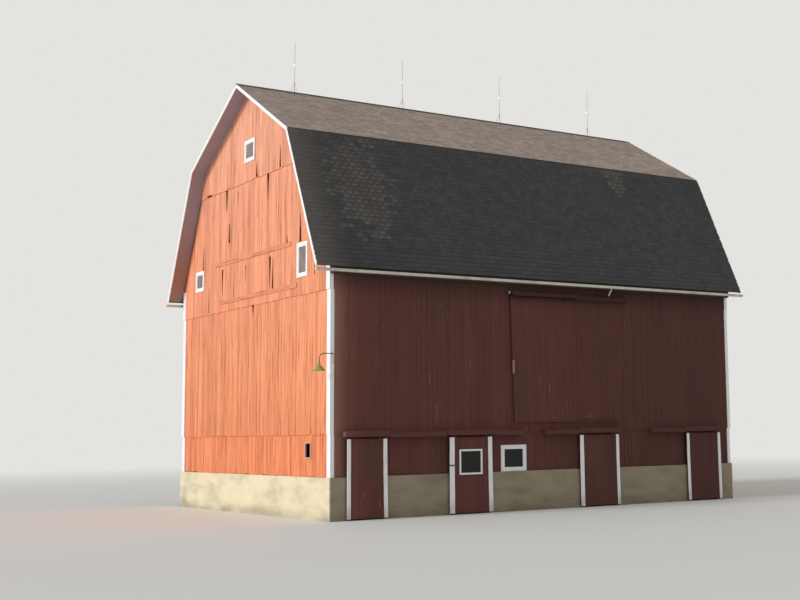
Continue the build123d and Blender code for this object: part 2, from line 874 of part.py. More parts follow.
# Lightning rods with glass balls
rod_foot = ridge_height + cap_rise
rod_places = [rod_inset - half_length + (barn_length - 2 * rod_inset) * n / (rod_count - 1)
              for n in range(rod_count)]
with BuildPart() as lightning_rods:
    for x in rod_places:
        bar((x, 0, rod_foot), (x, 0, rod_foot + rod_height), rod_radius, rod_sides)
        for leg in range(stand_legs):
            turn = pi + 2 * pi * leg / stand_legs
            foot_y = stand_spread * sin(turn)
            foot_z = rod_foot - abs(foot_y) * tan(upper_slope) + stand_foot_rise
            bar((x + stand_spread * cos(turn), foot_y, foot_z), (x, 0, rod_foot + stand_height),
                stand_radius, stand_sides)
save(lightning_rods, "lightning_rods")

# Each ball is pressed glass with flat sides, bored for its rod
ball_turn = acos(ball_neck_radius / ball_radius)
ball_angles = [ball_turn * (2 * ring / ball_rings - 1) for ring in range(ball_rings + 1)]
ball_half_height = ball_radius * sin(ball_turn)
with BuildPart() as lightning_balls:
    for x in rod_places:
        centre_z = rod_foot + ball_height
        for angle in ball_angles:
            with BuildSketch(Plane((x, 0, centre_z + ball_radius * sin(angle)))):
                RegularPolygon(ball_radius * cos(angle), ball_sides)
        loft(ruled=True)
        with BuildSketch(Plane((x, 0, centre_z - ball_half_height))):
            RegularPolygon(rod_radius + ball_clearance, ball_sides, major_radius=False)
        extrude(amount=2 * ball_half_height, mode=Mode.SUBTRACT)
save(lightning_balls, "lightning_balls")

# Gooseneck lamp on the near corner board
plate_x = corner_width_side / 2 - upper_end
plate_y = -(upper_face + trim_board)
arm_y = plate_y - lamp_plate_thickness - lamp_standoff
arm_x = -half_length - lamp_reach
arm_z = lamp_plate_foot + lamp_plate_height - lamp_arm_below_top
with BuildPart() as lamp_arm:
    block(plate_x - lamp_plate_width / 2, plate_x + lamp_plate_width / 2,
          plate_y - lamp_plate_thickness, plate_y, lamp_plate_foot, lamp_plate_foot + lamp_plate_height)
    with BuildLine() as arm_path:
        FilletPolyline(
            (plate_x, plate_y - lamp_plate_thickness, arm_z), (plate_x, arm_y, arm_z),
            (arm_x, arm_y, arm_z), (arm_x, arm_y, shade_foot + shade_height),
            radius=list(lamp_bends),
        )
    with BuildSketch(Plane(origin=arm_path.line @ 0, z_dir=arm_path.line % 0)):
        RegularPolygon(lamp_tube_radius, lamp_tube_sides)
    sweep()
save(lamp_arm, "lamp_arm")

with BuildPart() as lamp_shade:
    with BuildSketch(Plane((arm_x, arm_y, 0), x_dir=(1, 0, 0), z_dir=(0, -1, 0))) as section:
        with BuildLine():
            Polyline(
                (0, shade_foot + shade_height), (shade_neck_radius, shade_foot + shade_height),
                (shade_neck_radius, shade_foot + shade_cone_height), (shade_radius, shade_foot),
                (shade_radius - shade_wall, shade_foot),
                (shade_neck_radius - shade_wall, shade_foot + shade_cone_height - shade_wall),
                (0, shade_foot + shade_cone_height - shade_wall), close=True,
            )
        make_face()
    revolve(axis=Axis((arm_x, arm_y, 0), (0, 0, 1)))
save(lamp_shade, "lamp_shade")
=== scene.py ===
"""The looks of a red gambrel-roofed barn: boards, shingles, trim, masonry and hardware round its fixed frame.

Lengths are metres. +X runs along the ridge from the near gable, the doors are on the -Y side, +Z is up.
"""

from bisect import bisect_right
from functools import partial
from math import atan2, ceil, cos, radians, sin
from random import Random

import bmesh
import bpy
from bpy.props import FloatProperty, FloatVectorProperty, IntProperty, PointerProperty
from bpy.types import NodeSocket, Operator, Panel, PropertyGroup
from mathutils import Matrix, Vector, noise


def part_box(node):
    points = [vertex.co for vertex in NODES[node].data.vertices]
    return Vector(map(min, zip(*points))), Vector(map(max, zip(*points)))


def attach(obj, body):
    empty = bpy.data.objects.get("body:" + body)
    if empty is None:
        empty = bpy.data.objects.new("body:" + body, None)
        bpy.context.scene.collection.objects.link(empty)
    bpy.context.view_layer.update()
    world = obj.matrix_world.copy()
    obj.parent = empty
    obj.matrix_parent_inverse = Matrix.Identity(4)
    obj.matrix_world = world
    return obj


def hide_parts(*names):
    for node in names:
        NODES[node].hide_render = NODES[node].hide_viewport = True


bl_info = {
    "name": "Gambrel barn",
    "version": (1, 0, 0),
    "blender": (4, 5, 0),
    "location": "3D View > Sidebar > Barn",
    "description": "Boards, shingles, trim and stage of a red timber barn",
    "category": "Object",
}

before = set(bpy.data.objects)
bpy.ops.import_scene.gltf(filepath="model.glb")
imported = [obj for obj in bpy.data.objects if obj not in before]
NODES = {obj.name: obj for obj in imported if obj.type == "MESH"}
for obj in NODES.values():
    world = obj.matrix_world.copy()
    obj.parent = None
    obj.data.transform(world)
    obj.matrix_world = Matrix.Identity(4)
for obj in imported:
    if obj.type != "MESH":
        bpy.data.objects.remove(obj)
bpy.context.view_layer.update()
STABLE_DOORS = (1, 2, 3, 4)
# A door's boards, as a share of its thickness and half the gap between two, and the ledges behind them.
DOOR_BOARD_SHARE = 0.6
DOOR_HALF_JOINT = 0.0015
LEDGE_GAP = 0.0003
LEDGE_HALF = 0.07
LEDGE_END = 0.03
# How wide a joint is and how unevenly a board's foot is cut, as shares of the most.
JOINT_SHARES = (0.4, 0.7, 1.0, 1.0, 1.6)
CUT_SHARES = (0.0, 0.1, 0.3, 0.3, 1.0)
# How much thicker than its node an outline that cuts boards is, and how far a sliver's wedge reaches.
OUTLINE_STRETCH = 4.0
WEDGE_REACH = 0.1
# From the middle of a wide board to its edge, where it cups most.
HALF_BOARD = 0.14
# How far along X the gables' trim begins, how high a vent's trim reaches, the roof's break as out and up,
# and the floor over the stable.
GABLE_TRIM = 7.1
VENT_TOP = 2.3
ROOF_BREAK = (3.74, 10.98)
MOW_FLOOR = 2.4

# How far each door's left and right edge boards have sprung sideways at the foot, in metres.
SPRUNG = {1: (0.0, 0.03), 2: (0.0, 0.03), 3: (0.01, 0.035), 4: (0.03, 0.035)}
# How much wider than the frame's the left and right edge boards are, inwards.
WIDENED = {1: (0.0, 0.01), 2: (0.0, 0.03), 3: (0.03, 0.0), 4: (0.0, 0.0)}
# How far the upper door's left edge leans, at its head and at its foot.
MOW_DOOR_LEAN = (-0.04, 0.07)

# The handle and the latch, as along and up, with half their widths, and the ends of the upper door's guide.
HANDLE_PLACE = (-1.385, 4.19)
HANDLE_HALF = 0.03
LATCH_PLACE = (-3.53, 1.375)
LATCH_HALF = (0.12, 0.02)
LATCH_DEPTH = 0.008
GUIDE_SPAN = (-1.36, 2.58)
# Heights of the bolts on a hanger, as shares of it.
BOLT_SHARES = (0.12, 0.3, 0.48)
# How far apart the cuts in the plaster's mesh are, and its swells, as how many to a metre and how deep.
PLASTER_STEP = 0.16
PLASTER_SWELLS = ((1.3, 0.007), (4.0, 0.003))
# How long a tab is for its course, the least width of one, and how far chance shifts a course and a tab.
COURSE_LAP = 1.3
LEAST_TAB = 0.02
COURSE_SHIFT = 0.03
TAB_LIFT = 0.004
# The patches of worn tabs, and what places each one.
WORN_PATCHES = ("Worn", "Second")
PATCH_SIZES = ("Along", "Up", "Reach")
# How far the hoods' tops fall, and how near two lengths of one hood meet.
HOOD_FALL = 0.04
HOOD_JOINT = 0.005
# The plate on the end of the upper rail: its thickness, its width, and how far down its head and foot are.
END_PLATE = (0.004, 0.07, 0.015, 0.1)
# Slivers of bare wood on the front, as along, top, foot and width, and how far they stand off the boards.
SCARS = {
    "front_upper_siding": (
        (-3.98, 3.20, 2.50, 0.022), (-4.21, 4.05, 3.62, 0.022), (1.485, 2.86, 2.67, 0.03),
        (1.45, 2.71, 2.695, 0.6), (-7.01, 4.15, 4.05, 0.03), (-6.995, 3.79, 3.45, 0.022),
        (-5.66, 5.27, 5.12, 0.028), (-5.07, 5.13, 4.96, 0.012), (-3.55, 3.72, 3.55, 0.012),
        (-2.845, 4.38, 4.05, 0.018), (-2.96, 4.37, 4.24, 0.012), (-3.85, 5.95, 5.83, 0.025)),
    "mow_door": (
        (0.05, 2.75, 2.66, 0.03), (0.14, 2.71, 2.65, 0.03), (0.23, 2.69, 2.65, 0.025),
        (-0.43, 3.90, 3.64, 0.022), (-0.085, 3.80, 3.36, 0.028), (0.55, 3.2, 2.9, 0.012)),
    "stable_door_1": ((-6.3, 0.72, 0.58, 0.025), (-5.84, 0.5, 0.3, 0.03)),
}
SCAR_DEPTH = 0.004
# Slivers missing from the near gable's boards: across, top, foot, width at the top and at the foot.
GABLE_SLITS = (
    (-0.53, 10.60, 10.12, 0.02, 0.15), (-1.34, 10.09, 9.30, 0.15, 0.03), (-2.25, 10.80, 10.12, 0.02, 0.12),
    (1.88, 10.09, 9.42, 0.16, 0.04), (1.62, 8.98, 8.36, 0.05, 0.13), (-3.62, 8.55, 7.74, 0.03, 0.14),
    (-2.72, 8.08, 7.73, 0.02, 0.12), (2.14, 7.56, 6.72, 0.13, 0.03), (-1.53, 7.56, 6.48, 0.13, 0.03),
    (-1.73, 7.50, 6.46, 0.03, 0.12), (3.27, 7.06, 6.27, 0.03, 0.07), (3.80, 8.44, 7.55, 0.02, 0.11),
    (0.27, 7.50, 6.98, 0.07, 0.02), (-0.27, 6.23, 5.85, 0.14, 0.03), (3.30, 10.15, 10.09, 0.5, 0.34),
    (-0.62, 9.10, 8.86, 0.02, 0.05), (-4.55, 7.45, 6.70, 0.02, 0.05), (0.95, 9.9, 9.2, 0.05, 0.01),
    (0.15, 9.5, 8.7, 0.015, 0.04), (-2.1, 9.0, 8.2, 0.03, 0.01), (1.2, 7.4, 6.6, 0.02, 0.045),
    (-4.33, 2.52, 2.33, 0.015, 0.06),
)
# The tiers of siding, with the seed of each one's boards.
GABLE_TIERS = {"gable_lower_siding": 1, "gable_middle_siding": 2, "gable_upper_siding": 3,
               "gable_peak_siding": 4}
SIDE_TIERS = {"front_lower_siding": 5, "front_header_siding": 5, "front_upper_siding": 8,
              "back_lower_siding": 7, "back_upper_siding": 9}


def linear(code):
    """An sRGB hex colour as linear red, green and blue."""
    parts = [int(code[i:i + 2], 16) / 255 for i in (1, 3, 5)]
    return tuple(c / 12.92 if c <= 0.04045 else ((c + 0.055) / 1.055) ** 2.4 for c in parts)


def colour(name, code, description):
    """A colour that a user may change, given as sRGB hex."""
    return FloatVectorProperty(name=name, description=description, default=linear(code), size=3,
                               min=0, max=1, subtype="COLOR")


def length(name, metres, description):
    """A length that a user may change."""
    return FloatProperty(name=name, description=description, default=metres, min=0, subtype="DISTANCE",
                         unit="LENGTH", precision=4)


class BarnBoards(PropertyGroup):
    """Sizes of the siding boards."""

    narrow: length("Narrowest board", 0.11, "Width of the narrowest siding board")
    wide: length("Widest board", 0.27, "Width of the widest siding board")
    joint: length("Joint", 0.005, "Gap between two boards where they have shrunk")
    thickness: length("Thickness", 0.022, "Thickness of a siding board")
    foot_wander: length("Uneven foot", 0.03, "How unevenly the lower ends of the boards were cut")
    warp: length("Warp", 0.003, "How far a board stands off the frame at most")
    door_board: length("Door board", 0.17, "Usual width of a door's boards")
    seed: IntProperty(name="Seed", description="Start of the random widths", default=11, min=0)


class BarnRoof(PropertyGroup):
    """Sizes of the shingles."""

    exposure: length("Exposure", 0.146, "Height of a course of shingles that shows")
    tab: length("Tab", 0.22, "Width of one tab of a shingle")
    slot: length("Slot", 0.009, "Slot between two tabs")
    butt: length("Butt", 0.006, "Thickness of a tab at its lower edge")
    cap: length("Cap tab", 0.14, "Half width of a bent tab on the ridge")
    worn: FloatVectorProperty(name="Worn patch", size=3, default=(-5.85, 2.8, 2.2), unit="LENGTH",
                              description="Patch of worn tabs: along the eave, up the slope, and its reach")
    worn_too: FloatVectorProperty(name="Second patch", size=3, default=(3.9, 4.15, 0.8), unit="LENGTH",
                                  description="Smaller patch of worn tabs, given the same way")
    seed: IntProperty(name="Seed", description="Start of the random tabs", default=5, min=0)


class BarnTrim(PropertyGroup):
    """Sizes of the small trim and hardware."""

    sash: length("Sash", 0.028, "Width of a window sash that shows inside its casing")
    sash_depth: length("Sash depth", 0.012, "How far a sash stands off its glass")
    lap: length("Casing lap", 0.0355, "How far a casing laps over its glass")
    door_frame: length("Door window frame", 0.05, "Width of the boards round the window in a door")
    handle: length("Handle", 0.39, "Height of the upper door's wooden handle")
    guide: length("Guide", 0.035, "Height of the guide board under the upper door")
    hood_end: length("Hood end", 0.006, "Thickness of the boards that close the hoods over the rails")
    bolt: length("Bolt", 0.011, "Radius of a bolt's head")
    bulb: length("Bulb", 0.03, "Radius of the lamp's bulb")


class BarnColours(PropertyGroup):
    """Colours of the finishes."""

    # The gables' paint is lighter partly from real fading and partly as painted sunlight; the long sides'
    # paint is darker as painted shade.
    gable_paint_painted_sunlit: colour("Sunny paint", "#f5a37e", "Faded paint on the gable boards")
    gable_grain_painted_sunlit: colour("Sunny grain", "#bf6d48", "Darker grain in the gable boards")
    side_paint_painted_shade: colour("Shady paint", "#663a32", "Paint on the boards of the long sides")
    side_grain_painted_shade: colour("Shady grain", "#452622", "Darker grain in the boards of the long sides")
    bare_wood: colour("Bare wood", "#a28c80", "Wood where the paint has gone")
    # The upper slopes' light brown and the lower slopes' dark grey are partly the shingles' own colours and
    # partly painted sunlight and shade.
    upper_shingle_with_painted_light: colour("Upper shingles", "#a6968b", "Granules on the upper slopes")
    lower_shingle_with_painted_shade: colour("Lower shingles", "#424343", "Granules on the lower slopes")
    worn_shingle: colour("Worn shingles", "#8a7d74", "Tabs whose granules have worn off")
    white_paint: colour("White paint", "#f8fafa", "Trim boards, casings and door edges")
    white_dirt: colour("White dirt", "#c4c3bf", "Dirt on the white paint")
    soffit_paint: colour("Soffit paint", "#a69090", "Boards under the gable overhangs")
    # The eave boards' dark brown is painted shade under the roof's edge.
    eave_paint_painted_shade: colour("Eave paint", "#43302a", "Boards at the eaves")
    # The plain coat is darkened as painted shade on the long sides, and the gables' paler coat is painted
    # sunlight.
    plaster: colour("Plaster", "#a2977f", "Coat on the foundation")
    gable_plaster_painted_sunlight: colour("Sunny plaster", "#ecdfbe", "Coat on the foundation under the gables")
    plaster_stain: colour("Plaster stain", "#857a65", "Damp and dirt on the foundation")
    gutter: colour("Gutter", "#d9d6c8", "Paint on the gutters")
    # The long side's panes are dark as painted shade of the room behind; the gables' pale mauve panes are a
    # painted reflection of the sky.
    front_pane_painted_shade: colour("Dark panes", "#1a2020", "Panes on the long side")
    front_dust_and_painted_shade: colour("Dark dust", "#2c2725", "Dust on the panes of the long side")
    gable_pane_painted_reflection: colour("Gable panes", "#8d7b82", "Panes on the gables")
    gable_dust_and_painted_reflection: colour("Gable dust", "#ab9482", "Dust on the panes of the gables")
    timber: colour("Timber", "#8a6d50", "Bare timber inside")
    steel: colour("Steel", "#6f6c68", "Rails, hangers and bolts")
    lamp: colour("Lamp", "#99a061", "Enamel on the lamp's shade")
    lamp_arm: colour("Lamp arm", "#5f5045", "Weathered metal of the lamp's arm")
    lamp_plate: colour("Lamp plate", "#f2e2d8", "Old paint on the lamp's plate")
    floor: colour("Floor", "#e4e3df", "Studio floor and background")


class BarnStage(PropertyGroup):
    """The camera of the photograph and the studio round the barn."""

    eye: FloatVectorProperty(name="Eye", description="Place of the camera", size=3, subtype="TRANSLATION",
                             unit="LENGTH", default=(-22.98, -37.366, 2.288), precision=3)
    heading: FloatProperty(name="Heading", description="Turn from +Y towards +X", subtype="ANGLE",
                           default=radians(35.7403))
    rise: FloatProperty(name="Rise", description="Upward tilt of the camera", subtype="ANGLE",
                        default=radians(7.2661))
    roll: FloatProperty(name="Roll", description="Roll of the camera", subtype="ANGLE",
                        default=radians(-0.9341))
    lens: FloatProperty(name="Lens", description="Focal length in mm on a 36 mm sensor", default=58.612)
    shift: FloatVectorProperty(name="Shift", description="Shift of the frame, as a share of its width",
                               size=2, default=(-0.1837, -0.0436))
    key: FloatProperty(name="Key light", description="Strength of the soft key light", default=1.96)
    fill: FloatProperty(name="Fill light", description="Strength of the even light all round", default=0.45)


class BarnSettings(PropertyGroup):
    """Everything that a user may change on the barn."""

    boards: PointerProperty(type=BarnBoards)
    roof: PointerProperty(type=BarnRoof)
    trim: PointerProperty(type=BarnTrim)
    colours: PointerProperty(type=BarnColours)
    stage: PointerProperty(type=BarnStage)


# Short names for the steps that finishes and trees take most: the node's type, the order of its inputs,
# the output that is wanted, and its settings.
STEPS = {
    "blend": ("ShaderNodeMix", (0, 6, 7), 2, {"data_type": "RGBA"}),
    "tint": ("ShaderNodeMix", (0, 6, 7), 2, {"data_type": "RGBA", "blend_type": "MULTIPLY"}),
    "spread": ("ShaderNodeMapRange", (0, 1, 2, 3, 4), 0, {"interpolation_type": "SMOOTHSTEP"}),
    "bump": ("ShaderNodeBump", ("Height", "Distance"), 0, {}),
    "read": ("ShaderNodeAttribute", (), "Fac", {}),
    "point": ("ShaderNodeCombineXYZ", (0, 1, 2), 0, {}),
    "chance": ("FunctionNodeRandomValue", (2, 3, "ID", "Seed"), 1, {"data_type": "FLOAT"}),
    "store": ("GeometryNodeStoreNamedAttribute", ("Geometry", "Name", "Value"), 0, {"data_type": "FLOAT"}),
}


def set_input(tree, socket, value):
    """Links a value that is a socket, and sets any other; a colour gets its alpha."""
    if isinstance(value, NodeSocket):
        tree.links.new(value, socket)
    else:
        socket.default_value = (*value, 1.0) if socket.type == "RGBA" else value


def add_node(tree, kind, *inputs, out=None, **settings):
    """Adds one node and gives one output: a step from above, a sum named in capitals, or a node's own type.

    The inputs come in order, or as one dictionary by name.
    """
    if kind.isupper():
        settings["operation"], kind = kind, "ShaderNodeMath"
    kind, order, first, fixed = STEPS.get(kind, (kind, range(len(inputs)), 0, {}))
    made = tree.nodes.new(kind)
    for name, value in {**fixed, **settings}.items():
        setattr(made, name, value)
    given = inputs[0] if inputs and isinstance(inputs[0], dict) else dict(zip(order, inputs))
    for name, value in given.items():
        set_input(tree, made.inputs[name], value)
    return made.outputs[first if out is None else out]


def surfaced(material, **values):
    """A material with values set on its shader's own sockets, or linked to them."""
    shader = material.node_tree.nodes["Principled BSDF"]
    for name, value in values.items():
        set_input(material.node_tree, shader.inputs[name.replace("_", " ")], value)
    return material


def new_material(name, **surface):
    """A material with one shader, and what adds a node to it."""
    material = bpy.data.materials.new(name)
    material.use_nodes = True
    return surfaced(material, **surface), partial(add_node, material.node_tree)


def coordinate(add, axis):
    """One of the Object coordinates."""
    return add("ShaderNodeSeparateXYZ", add("ShaderNodeTexCoord", out="Object"), out=axis)


def clouds(add, across, along, axis=2, detail=3.0, roughness=0.55, shift=None):
    """Smooth noise with its grain so wide across and so long along an axis, shifted where that is given."""
    scale = [1 / across] * 3
    scale[axis] = 1 / along
    place = add("ShaderNodeMapping", {"Vector": add("ShaderNodeTexCoord", out="Object"), "Scale": scale})
    if shift is not None:
        place = add("ShaderNodeVectorMath", place, shift, operation="ADD")
    return add("ShaderNodeTexNoise",
               {"Vector": place, "Scale": 1.0, "Detail": detail, "Roughness": roughness})


def dimmed(rgb, share):
    """A darker colour of the same hue."""
    return [c * share for c in rgb]


def gable_fade(add):
    """Tint of a gable's paint: pink and pale near the peak, stronger and more orange low down."""
    height = coordinate(add, "Z")
    tint = (1, 1, 1)
    for start, end, change in ((8.0, 12.5, (1.0, 1.17, 1.34)), (8.5, 3.5, (0.96, 0.88, 0.76)),
                               (3.8, 2.5, (0.912, 0.8, 0.676)), (2.36, 2.34, (0.93, 0.766, 0.608))):
        tint = add("blend", add("spread", height, start, end), tint, change)
    return tint


def side_fade_and_painted_shade(add):
    """Tint of a long side's paint: faded near the corner, deeper towards the far end, and darkened under the
    eave and on the upper rail's hood as painted shade.
    """
    along, outward, height = (coordinate(add, axis) for axis in "XYZ")
    # Painted shade: the hood's face under the eave is darkest, and everything from 5.9 m up to the eave is
    # darker.
    hood_painted_shade = add("MULTIPLY", add("spread", height, 6.1, 6.25), add("spread", outward, -5.56, -5.59))
    shade = add("MULTIPLY_ADD", hood_painted_shade, -0.45, 1.0)
    for place, start, end, change in ((along, -5.9, -7.3, 1.4), (along, -4.0, 6.5, 0.74),
                                      (height, 5.9, 6.5, 0.64)):
        shade = add("MULTIPLY", shade, add("spread", place, start, end, 1.0, change))
    chalky = add("POWER", add("spread", along, -6.3, -7.2), 3.0)
    return add("tint", 1.0, add("blend", chalky, (1, 1, 1), (1.8, 2.8, 2.65)), shade)


def soffit_fade(add):
    """Tint of the boards under the gable overhangs: greyer near the peak, browner towards the eaves."""
    return add("blend", add("spread", coordinate(add, "Z"), 9.8, 7.4), (0.93, 1.13, 1.31), (0.97, 0.8, 0.63))


def worn_board_paint(name, paint, grain, bare, wear, fade, axis=2, streaked=1.0):
    """Oil paint on rough-sawn boards: dull, uneven from board to board, and thin along the grain."""
    material, add = new_material(name, Roughness=0.82, IOR=1.45)
    tone = add("read", attribute_name="tone")
    # Each board has its own stretch of the pattern.
    shift = add("ShaderNodeVectorMath", tone, (91.0, 57.0, 33.0), operation="MULTIPLY")
    # Grain is some 10 mm wide; the streaks are drawn 60 mm wide, as fine ones wouldn't show.
    streaks = clouds(add, 0.06, 1.3, axis, detail=4, shift=shift)
    fibres = clouds(add, 0.011, 0.5, axis, shift=shift)
    patches = clouds(add, 0.9, 1.8, axis)
    base = add("blend", add("spread", streaks, 0.46, 0.74, 0.0, streaked), paint, grain)
    base = add("blend", add("spread", fibres, 0.5, 0.8, 0.0, streaked), base, grain)
    # Broad stains where the paint has gone green-brown.
    stains = add("spread", clouds(add, 1.1, 2.6, axis, detail=4), 0.48, 0.72, 0.0, 1.0 - streaked)
    base = add("blend", stains, base, [c * s for c, s in zip(paint, (0.62, 0.9, 0.85))])
    lift = add("MULTIPLY", add("MULTIPLY_ADD", tone, 0.2 * streaked + 0.06, 0.97 - 0.1 * streaked),
               add("MULTIPLY_ADD", patches, 0.3, 0.85))
    # On the long sides the place tint holds painted shade under the eave.
    base = add("tint", 1.0, add("tint", 1.0, base, lift), fade(add))
    flakes = clouds(add, 0.025, 0.35, axis, detail=5, roughness=0.7, shift=shift)
    gone = add("MULTIPLY", add("spread", flakes, 0.66, 0.72), add("spread", patches, 0.52, 0.66))
    base = add("blend", add("MULTIPLY", gone, wear), base, bare)
    return surfaced(material, Base_Color=base, Normal=add("bump", add("SUBTRACT", fibres, gone), 0.0025))


def shingle_granules(name, granule, worn, bleached, mottled):
    """Asphalt shingles under mineral granules: matt, speckled, and each tab a little lighter or darker."""
    material, add = new_material(name, Roughness=0.93)
    tone, across, up, wear = (add("read", attribute_name=word) for word in ("tone", "across", "up", "worn"))
    # Granules are 1.5 mm; they are drawn 12 mm wide, as real ones wouldn't show.
    speckle = clouds(add, 0.012, 0.012, detail=2)
    lift = add("MULTIPLY_ADD", tone, 0.34, 0.78)
    for pattern, reach, least in ((speckle, 0.6, 0.7), (clouds(add, 1.6, 1.6, detail=4), 0.4, 0.8),
                                  (clouds(add, 0.13, 0.13, detail=2), 2 * mottled, 1.0 - mottled)):
        lift = add("MULTIPLY", lift, add("MULTIPLY_ADD", pattern, reach, least))
    base = add("tint", 1.0, granule, lift)
    # The tabs nearest the gable have bleached, and the mesh says which ones have worn through.
    base = add("blend", add("spread", coordinate(add, "X"), -6.6, -7.9, 0.0, bleached), base, worn)
    # A tab wears through in the middle of its lower edge first.
    middle = add("spread", add("ABSOLUTE", across), 0.5, 0.15)
    low = add("spread", up, 0.55, 0.15)
    through = add("MULTIPLY", add("MULTIPLY_ADD", add("MULTIPLY", middle, low), 0.3, 0.14), wear)
    base = add("blend", through, base, worn)
    return surfaced(material, Base_Color=base, Normal=add("bump", speckle, 0.002))


def weathered_paint(name, paint, dirt, axis=2, roughness=0.55, cracked=0.4, vent_painted_shade=None, fade=None):
    """House paint on planed boards: a slight sheen, hairline cracks and grey dirt, and the vents' frames low
    on the gables toned cream-brown as painted shade.
    """
    material, add = new_material(name, Roughness=roughness, IOR=1.47)
    height = coordinate(add, "Z")
    grime = clouds(add, 0.15, 0.7, axis, detail=5)
    cracks = clouds(add, 0.008, 0.4, axis)
    base = add("blend", add("spread", grime, 0.54, 0.95), paint, dirt)
    base = add("blend", add("spread", cracks, 0.66, 0.74, 0.0, cracked), base, dirt)
    if fade:
        base = add("tint", 1.0, base, fade(add))
    # Painted shade: the vents' frames low on the gables take a darker cream-brown.
    if vent_painted_shade:
        on_gable = add("GREATER_THAN", add("ABSOLUTE", coordinate(add, "X")), GABLE_TRIM)
        base = add("blend", add("MULTIPLY", on_gable, add("LESS_THAN", height, VENT_TOP)), base, vent_painted_shade)
    # Rain splashes earth up what stands near the ground.
    splash = add("MULTIPLY", add("spread", height, 0.55, 0.05), add("spread", grime, 0.3, 0.7, 0.0, 0.6))
    base = add("blend", splash, base, linear("#857260"))
    return surfaced(material, Base_Color=base, Normal=add("bump", cracks, 0.001))


def plaster_coat(name, shady, sunny, stain):
    """Lime plaster on rubble: chalky and matt, with faint stains and damp; the paler coat under the gables is
    painted sunlight and the long sides' darker coat painted shade.
    """
    material, add = new_material(name, Roughness=0.95)
    # The gable faces take the pale coat as painted sunlight, the long sides the darker one as painted shade.
    gable_face_painted_sunlight = add("spread", add("ABSOLUTE", coordinate(add, "X")), 7.27, 7.29)
    plaster = add("blend", gable_face_painted_sunlight, shady, sunny)
    soiled = add("blend", gable_face_painted_sunlight, stain, dimmed(sunny, 0.66))
    broad = clouds(add, 1.1, 0.45, detail=5)
    fine = clouds(add, 0.05, 0.05, detail=6)
    damp = add("MULTIPLY", add("spread", coordinate(add, "Z"), 0.45, 0.0, 0.0, 0.8), broad)
    base = add("blend", add("spread", broad, 0.35, 0.8), plaster, soiled)
    base = add("blend", damp, base, dimmed(stain, 0.6))
    base = add("blend", add("spread", fine, 0.62, 0.75, 0.0, 0.5), base, dimmed(stain, 0.8))
    return surfaced(material, Base_Color=base,
                    Normal=add("bump", add("MULTIPLY_ADD", fine, 0.3, broad), 0.008))


def rough_timber(name, wood):
    """Rough-sawn beams, never painted: brown-grey, with long dark grain."""
    material, add = new_material(name, Roughness=0.85)
    grain = clouds(add, 0.03, 0.03, detail=5)
    base = add("blend", add("spread", grain, 0.4, 0.7), wood, dimmed(wood, 0.45))
    return surfaced(material, Base_Color=base, Normal=add("bump", grain, 0.003))


def metal(name, base, metallic, roughness, rust=0.0, plate=None):
    """Sheet or bar metal: dulled by weather, with small rust blooms, and a wall plate in its own paint."""
    material, add = new_material(name, Metallic=metallic, Roughness=roughness)
    blooms = clouds(add, 0.06, 0.06, detail=6)
    streaks = clouds(add, 0.4, 0.4, detail=4)
    shade = add("blend", add("spread", streaks, 0.4, 0.75), base, dimmed(base, 0.7))
    if plate:
        face, paint = plate
        shade = add("blend", add("GREATER_THAN", coordinate(add, "Y"), face), shade, paint)
    shade = add("blend", add("spread", blooms, 0.55, 0.66, 0.0, rust), shade, linear("#6b3a22"))
    return surfaced(material, Base_Color=shade, Normal=add("bump", blooms, 0.0006))


def dusty_glass(name, front, gable, through):
    """Old window glass: slightly wavy, with a film of dust; the long side's panes are dark as painted shade
    of the room behind, the gables' pale mauve as a painted reflection of the sky.
    """
    material, add = new_material(name, IOR=1.5, Specular_IOR_Level=0.2, Transmission_Weight=through)
    film = clouds(add, 0.35, 0.6, detail=5)
    filmed = add("spread", film, 0.35, 0.7)
    on_gable = add("spread", add("ABSOLUTE", coordinate(add, "X")), GABLE_TRIM, GABLE_TRIM + 0.05)
    # Dust over painted shade on the long side's panes, and over a painted reflection on the gables'.
    panes = [add("blend", filmed, clear, dust) for clear, dust in (front, gable)]
    return surfaced(material, Base_Color=add("blend", on_gable, *panes),
                    Roughness=add("spread", film, 0.1, 1.4))


def milk_glass_painted_glow(name):
    """Pressed white glass of the rod balls: glossy and a little translucent, with a faint emitted glow that
    is painted light.
    """
    white = linear("#f4f6f4")
    # The emission is painted light: the glass glows though nothing in it gives light.
    material, add = new_material(name, Roughness=0.12, IOR=1.5, Emission_Strength=0.35, Emission_Color=white,
                                 Subsurface_Weight=0.5, Subsurface_Radius=(0.02, 0.02, 0.02))
    return surfaced(material, Base_Color=add("blend", clouds(add, 0.04, 0.04), white, linear("#dfe8e6")))


MATERIALS = {}


